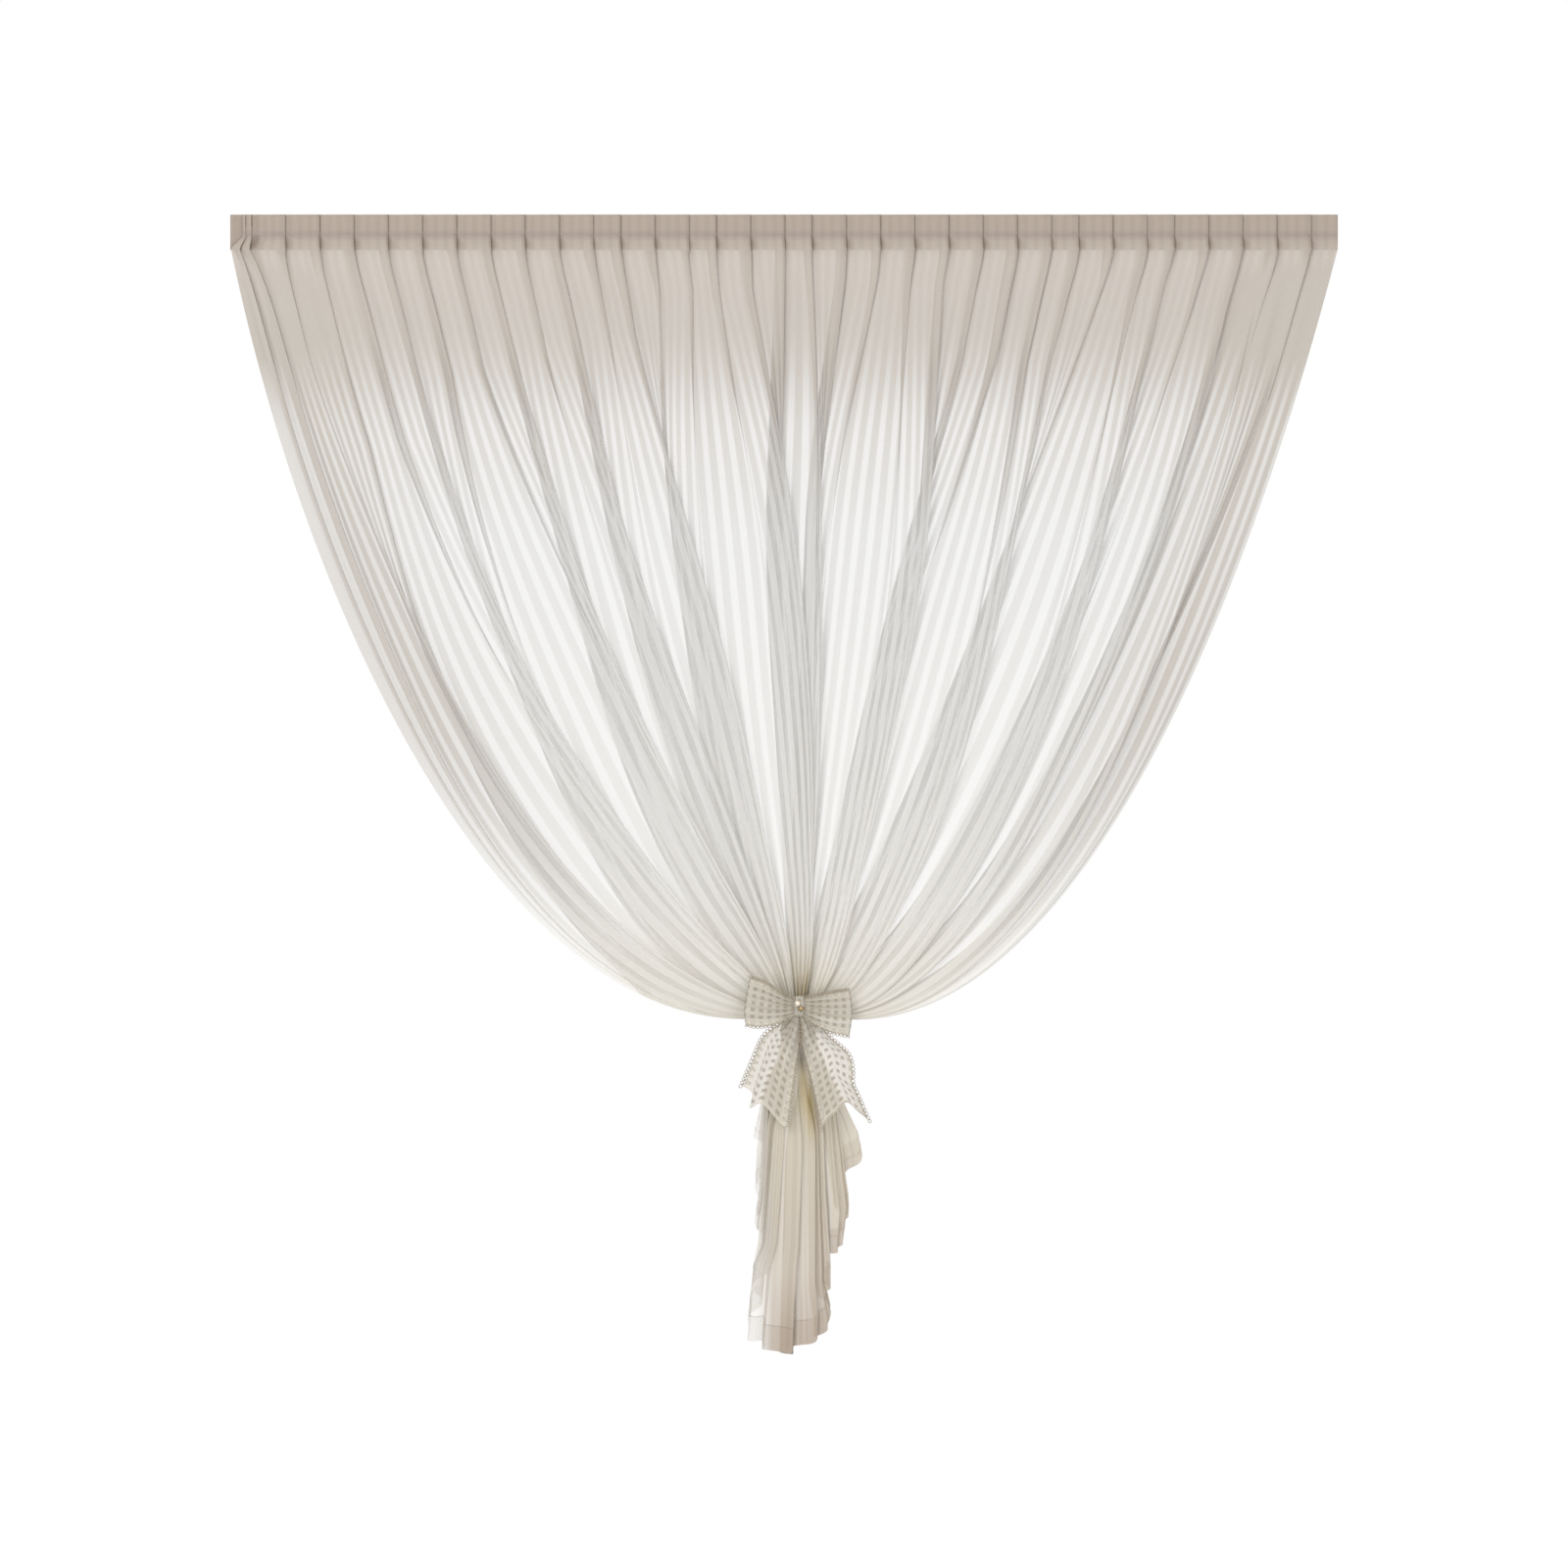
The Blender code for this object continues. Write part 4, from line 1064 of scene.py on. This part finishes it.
def weave_in(n, threads, place, weave):
    """The weave on a finish, as its tint and its height."""
    group = n.add("ShaderNodeGroup", node_tree=weave)
    n.feed(group, {"Place": place, "Threads": threads})
    return group.outputs["Tint"], group.outputs["Height"]


def surface(name, roughness, metallic=0.0):
    """A material with a Principled BSDF, and its node helper and shader."""
    made = bpy.data.materials.new(name)
    made.use_nodes = True
    n, shader = Nodes(made.node_tree), made.node_tree.nodes["Principled BSDF"]
    n.feed(shader, {"Roughness": roughness, "Metallic": metallic})
    return made, n, shader


def voile(weave):
    """Sheer striped voile: heavier where it is stitched, beige above and at the sides in painted shade, paler
    below and creamy in the tail, with more painted shade and light.
    """
    made, n, shader = surface("sheer_voile", 0.8)
    uv, place = n.cut_place(), n.place()
    across, down, _ = n.split(uv)
    x, _, z = n.split(place)
    tint, height = weave_in(n, VOILE_THREADS, uv, weave)
    tuck_shade, edge, under_knot_shade = (n.point_value(name) for name in ("tuck_shade", "edge", "under_knot_shade"))

    stripe = n.step(n.off_middle(across, STRIPE_PITCH), *STRIPE_SHARE)
    uneven = n.noise(n.stretched(uv, (60.0, 1.5, 1.0)), 1.0)
    thick, thin = (n.math("MULTIPLY_ADD", uneven, *pair) for pair in zip(LOOSE_UNEVEN, LOOSE_COVER))
    hem = n.step(down, CLOTH_LENGTH - HEM_DEPTH - HEM_BLUR, CLOTH_LENGTH - HEM_DEPTH + HEM_BLUR)
    low = n.rest(n.step(z, *DENSE_LOW))
    dense = n.math("MAXIMUM", n.step(z, *DENSE_TOP), n.times(low, 0.85))
    dense = n.math("MAXIMUM", dense, n.times(hem, 0.95))
    cover = n.blend(dense, n.blend(stripe, thick, thin), n.blend(stripe, *DENSE_COVER))
    # The painted side shade also makes the cloth denser there
    cover = n.math("ADD", cover, n.times(edge, 0.22))
    # Left in the tail: sheerer cloth, and a near-white colour below that is painted light
    tail_left = n.times(n.rest(n.step(x, *TAIL_SHEER_AND_LIT_X)), n.rest(n.step(z, *TAIL_SHEER_AND_LIT_Z)))
    cover = n.math("SUBTRACT", cover, n.times(tail_left, 0.50))
    cover = n.math("MULTIPLY_ADD", tint, 0.10, n.math("SUBTRACT", cover, 0.05), clamp=True)

    # The colour down the cloth, with painted shade at its beige top and painted light by the neck
    fed = {"Value": z, "From Min": NECK_BOTTOM - TAIL_DROP, "From Max": BAND_TOP}
    ramp = n.add("ShaderNodeValToRGB", {"Fac": n.add("ShaderNodeMapRange", fed).outputs["Result"]})
    elements = ramp.color_ramp.elements
    while len(elements) < len(VOILE_COLOURS_LIGHT_AND_SHADE):
        elements.new(0.5)
    for element, (share, screen_colour) in zip(elements, VOILE_COLOURS_LIGHT_AND_SHADE):
        element.position = share
        element.color = srgb(*screen_colour)
    neck = {0: place, 1: (NECK_X, NECK_Y, NECK_TOP)}
    from_neck = n.add("ShaderNodeVectorMath", neck, operation="DISTANCE").outputs["Value"]
    from_seam = n.math("ABSOLUTE", n.math("SUBTRACT", z, STITCH_Z))
    at_foot = n.rest(n.step(z, *HEM_SHADE_Z))
    layers = (
        # painted shade at the sides, as of a dim wall behind the sheer cloth
        (edge, 0.8, SIDE_SHADE_COLOUR),
        # painted light round the neck, lifting the shade of the bunched folds
        (n.rest(n.step(from_neck, *NECK_PAINTED_LIGHT)), 0.6, (244, 236, 217)),
        # painted light on the left of the tail, lifting the shade of the folds behind the sheerer cloth
        (tail_left, 1.0, (248, 244, 237)),
        (tint, 0.10, (150, 140, 130)),
        # painted shade, warm-toned, in the hollow under the knot
        (under_knot_shade, 0.95, (184, 163, 104)),
        (hem, n.blend(at_foot, 0.25, 0.45), (180, 164, 146)),
        # painted shade under the folds of the pleats
        (tuck_shade, 0.4, (142, 126, 112)),
        (n.rest(n.step(from_seam, *SEAM_SHADE)), 0.45, (164, 150, 146)),
    )
    colour = n.layers(ramp.outputs["Color"], layers)
    n.feed(shader, {"Base Color": colour, "Alpha": cover, "Normal": n.bump(height, 0.00008, 0.35)})
    return made


def tulle(weave):
    """Dotted net ribbon: a fine open net, soft square dots, and a denser scalloped lace edge."""
    made, n, shader = surface("dotted_tulle", 0.75)
    uv = n.cut_place()
    across, along, _ = n.split(uv)
    tint, height = weave_in(n, RIBBON_THREADS, uv, weave)

    def from_middle(value, pitch):
        return n.times(n.off_middle(value, pitch), pitch)

    square = n.math("MAXIMUM", from_middle(across, DOT_ACROSS), from_middle(along, DOT_ALONG))
    blotch = n.math("MULTIPLY_ADD", n.noise(uv, 700.0), 2 * DOT_BLUR, -DOT_BLUR)
    dot = n.rest(n.step(n.math("ADD", square, blotch), DOT_HALF - DOT_BLUR, DOT_HALF + DOT_RIM))
    near_edge = n.math("MINIMUM", across, n.point_value("foot"))
    near_edge = n.math("MINIMUM", near_edge, n.math("SUBTRACT", RIBBON_WIDTH, across))
    wave = n.times(n.math("COSINE", n.times(along, math.tau / SCALLOP)), SCALLOP_DEPTH)
    from_rim = n.math("SUBTRACT", near_edge, n.math("ADD", wave, SCALLOP_INSET))
    rim = n.rest(n.step(from_rim, *LACE_RIM))
    lace = n.rest(n.step(from_rim, *LACE_BODY))
    holes = n.step(from_middle(along, SCALLOP / 2), *LACE_HOLE)
    net = n.math("MULTIPLY_ADD", height, 0.10, 0.70)
    dense = n.math("MAXIMUM", n.times(lace, n.math("MULTIPLY_ADD", holes, -0.30, 0.88)), rim)
    cover = n.math("MAXIMUM", n.math("MAXIMUM", net, n.times(dot, 0.92)), dense)
    cover = n.math("MULTIPLY_ADD", tint, 0.16, n.math("SUBTRACT", cover, 0.08), clamp=True)
    cover = n.times(cover, n.step(from_rim, *LACE_CUT))

    net_colour = n.mix(tint, srgb(206, 199, 185), srgb(232, 226, 214))
    layers = ((dot, 0.9, (170, 159, 142)), (lace, 0.55, (228, 221, 206)), (rim, 0.6, (174, 164, 148)))
    raised = n.math("ADD", n.times(height, 0.3), dot)
    colour = n.layers(net_colour, layers)
    n.feed(shader, {"Base Color": colour, "Alpha": cover, "Normal": n.bump(raised, 0.0003, 0.5)})
    return made


def thread(name, colour):
    """Sewing thread: twisted, so it is lighter and darker along its length."""
    made, n, shader = surface(name, 0.7)
    place = n.place()
    twisted = n.mix(n.noise(place, 900.0), darker(colour, 0.82), colour)
    n.feed(shader, {"Base Color": twisted, "Normal": n.bump(n.noise(place, 2600.0), 0.0001, 0.4)})
    return made


def band_cloth(weave):
    """The dusky woven band behind the heading."""
    made, n, shader = surface("band_cloth", 0.85)
    x, _, z = n.split(n.place())
    flat = n.add("ShaderNodeCombineXYZ", {0: x, 1: z}).outputs[0]
    tint, height = weave_in(n, RIBBON_THREADS, flat, weave)
    colour = n.mix(tint, srgb(160, 145, 134), srgb(186, 170, 158))
    n.feed(shader, {"Base Color": colour, "Normal": n.bump(height, 0.0002, 0.6)})
    return made


def hook_tape_cloth(name, colour, loops):
    """One half of a hook-and-loop tape: rows of stiff hooks, or a felted bed of loops."""
    made, n, shader = surface(name, 0.6)
    place = n.place()
    if loops:
        pile = n.noise(place, 1400.0, 4.0)
    else:
        cells = {"Vector": place, "Scale": 520.0, "Randomness": 0.25}
        pile = n.add("ShaderNodeTexVoronoi", cells).outputs["Distance"]
    piled = n.mix(pile, darker(colour, 0.72), colour)
    n.feed(shader, {"Base Color": piled, "Normal": n.bump(pile, 0.0006, 0.7)})
    return made


def adhesive():
    """Pale cream adhesive on the back, with faint drag marks from the coating roller."""
    made, n, shader = surface("adhesive", 0.28)
    drag = n.noise(n.stretched(n.place(), (2.0, 60.0, 160.0)), 1.0, 3.0)
    colour = n.mix(drag, srgb(214, 206, 186), srgb(230, 224, 208))
    gloss = n.math("MULTIPLY_ADD", drag, 0.25, 0.18)
    n.feed(shader, {"Base Color": colour, "Roughness": gloss, "Normal": n.bump(drag, 0.0001, 0.3)})
    return made


def gold():
    """Soft gold, a little worn, for the pin and its round head."""
    made, n, shader = surface("gold", 0.22, metallic=1.0)
    wear = n.noise(n.place(), 700.0, 3.0)
    colour = n.mix(wear, srgb(150, 126, 88), srgb(196, 174, 134))
    n.feed(shader, {"Base Color": colour, "Roughness": n.math("MULTIPLY_ADD", wear, 0.14, 0.16)})
    return made


def pearl():
    """A lustrous bead whose tint turns from cream to rose towards its rim."""
    made, n, shader = surface("pearl", 0.2, metallic=0.55)
    cream = n.mix(n.noise(n.place(), 260.0), srgb(232, 222, 204), srgb(246, 238, 224))
    rim = n.add("ShaderNodeLayerWeight", {"Blend": 0.35}).outputs["Facing"]
    colour = n.mix(rim, cream, srgb(206, 178, 150))
    n.feed(shader, {"Base Color": colour, "Coat Weight": 0.6, "Coat Roughness": 0.08})
    return made


def stage_and_light():
    """A pale floor well below the curtain, soft light from above and in front, and a white surround."""
    world = bpy.data.worlds.new("studio")
    bpy.context.scene.world = world
    world.use_nodes = True
    n = Nodes(world.node_tree)
    light = world.node_tree.nodes["Background"]
    n.feed(light, {"Color": WHITE, "Strength": 0.70})
    shown = n.add("ShaderNodeBackground", {"Color": WHITE})
    rays = n.add("ShaderNodeLightPath").outputs
    seen = n.math("MAXIMUM", rays["Is Camera Ray"], rays["Is Glossy Ray"])
    seen = n.math("MAXIMUM", seen, rays["Is Transmission Ray"])
    mix = n.add("ShaderNodeMixShader", {0: seen, 1: light.outputs[0], 2: shown.outputs[0]})
    n.feed(world.node_tree.nodes["World Output"], {"Surface": mix.outputs[0]})

    height = CAD_BOX[0][2] - FLOOR_DROP
    corners = [(FLOOR_HALF * x, FLOOR_HALF * y, height) for x, y in ((-1, -1), (1, -1), (1, 1), (-1, 1))]
    floor = add_mesh("floor", corners, [(0, 1, 2, 3)], smooth=False)
    pale, n, shader = surface("pale_floor", 0.9)
    glow = n.times(n.add("ShaderNodeLightPath").outputs["Is Camera Ray"], 0.45)
    n.feed(shader, {"Base Color": FLOOR_COLOUR, "Emission Color": WHITE, "Emission Strength": glow})
    floor.data.materials.append(pale)

    for name, place, size, energy in (
        ("key_light", (-1.6, -3.2, 1.2), 2.2, 46.0),
        ("fill_light", (2.2, -3.0, -0.6), 2.6, 22.0),
    ):
        lamp = bpy.data.lights.new(name, "AREA")
        lamp.shape = "DISK"
        lamp.size = size
        lamp.energy = energy
        obj = in_scene(name, lamp)
        obj.location = place
        obj.rotation_euler = (Vector(LIT_PLACE) - Vector(place)).to_track_quat("-Z", "Y").to_euler()


def camera():
    """A level view from straight in front of the wall."""
    view = 2 * BAND_HALF * VIEW_PIXELS / BAND_PIXELS
    middle = BAND_TOP - (VIEW_PIXELS / 2 - BAND_TOP_PIXEL) * view / VIEW_PIXELS
    data = bpy.data.cameras.new("camera")
    data.sensor_width = SENSOR_WIDTH
    data.lens = SENSOR_WIDTH * (CAMERA_AWAY + BAND_FRONT) / view
    obj = in_scene("camera", data)
    obj.location = (0.0, -CAMERA_AWAY, middle)
    obj.rotation_euler = (math.pi / 2, 0, 0)
    bpy.context.scene.camera = obj


def dress(node, material):
    """Gives a piece of the frame its own finish."""
    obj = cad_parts[node]
    obj.data.materials.clear()
    obj.data.materials.append(material)


def main():
    bpy.context.scene.view_settings.view_transform = "Standard"
    camera()
    stage_and_light()
    weave = weave_group()
    cloth, seam, hem_seam = curtain_cloth()
    cloth.data.materials.append(voile(weave))
    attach(cloth, "root")
    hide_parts("curtain_panel")
    beige = thread("beige_thread", srgb(188, 174, 158))
    stitches = thread_shape("straight_stitches", THREAD_RADIUS, STITCH_LENGTH, False)
    seams = sewn_along("cloth_stitches", [seam, hem_seam], stitches, STITCH_SPACING, beige)
    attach(seams, "root")

    net = tulle(weave)
    cream = thread("cream_thread", srgb(182, 169, 150))
    rings = thread_shape("picot_rings", PICOT_THREAD, PICOT_RADIUS, True)
    ring_length = math.tau * NECK_HALF_WIDTH - RING_OVAL
    ring, knot = bow_ring(), bow_knot()
    pieces = [
        (ring, [], (2 * RING_HALF_HEIGHT, ring_length), "stretched", "curtain_cloth"),
        (knot, [], (KNOT_CUT[1] - KNOT_CUT[0], 2 * KNOT_HALF_HEIGHT), "gathered", "bow_ring"),
    ]
    for side in ("left", "right"):
        for shape, held in ((bow_loop, "gathered"), (bow_end, "hung")):
            obj, rims, length = shape(side)
            pieces.append((obj, rims, (RIBBON_WIDTH, length), held, "bow_knot"))
    for obj, rims, flat, held, under in pieces:
        obj.data.materials.append(net)
        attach(obj, "root")
        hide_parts("bow_ribbon")
        picots = []
        if rims:
            picots = [sewn_along(obj.name + "_picots", rims, rings, PICOT_SPACING, cream)]
            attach(picots[0], "root")

    dress("heading_band", band_cloth(weave))
    dress("hook_tape", hook_tape_cloth("hook_tape_cloth", srgb(196, 190, 180), False))
    dress("loop_tape", hook_tape_cloth("loop_tape_cloth", srgb(204, 196, 184), True))
    dress("adhesive_film", adhesive())
    dress("bead_pin", gold())
    dress("pearl_bead", pearl())


main()
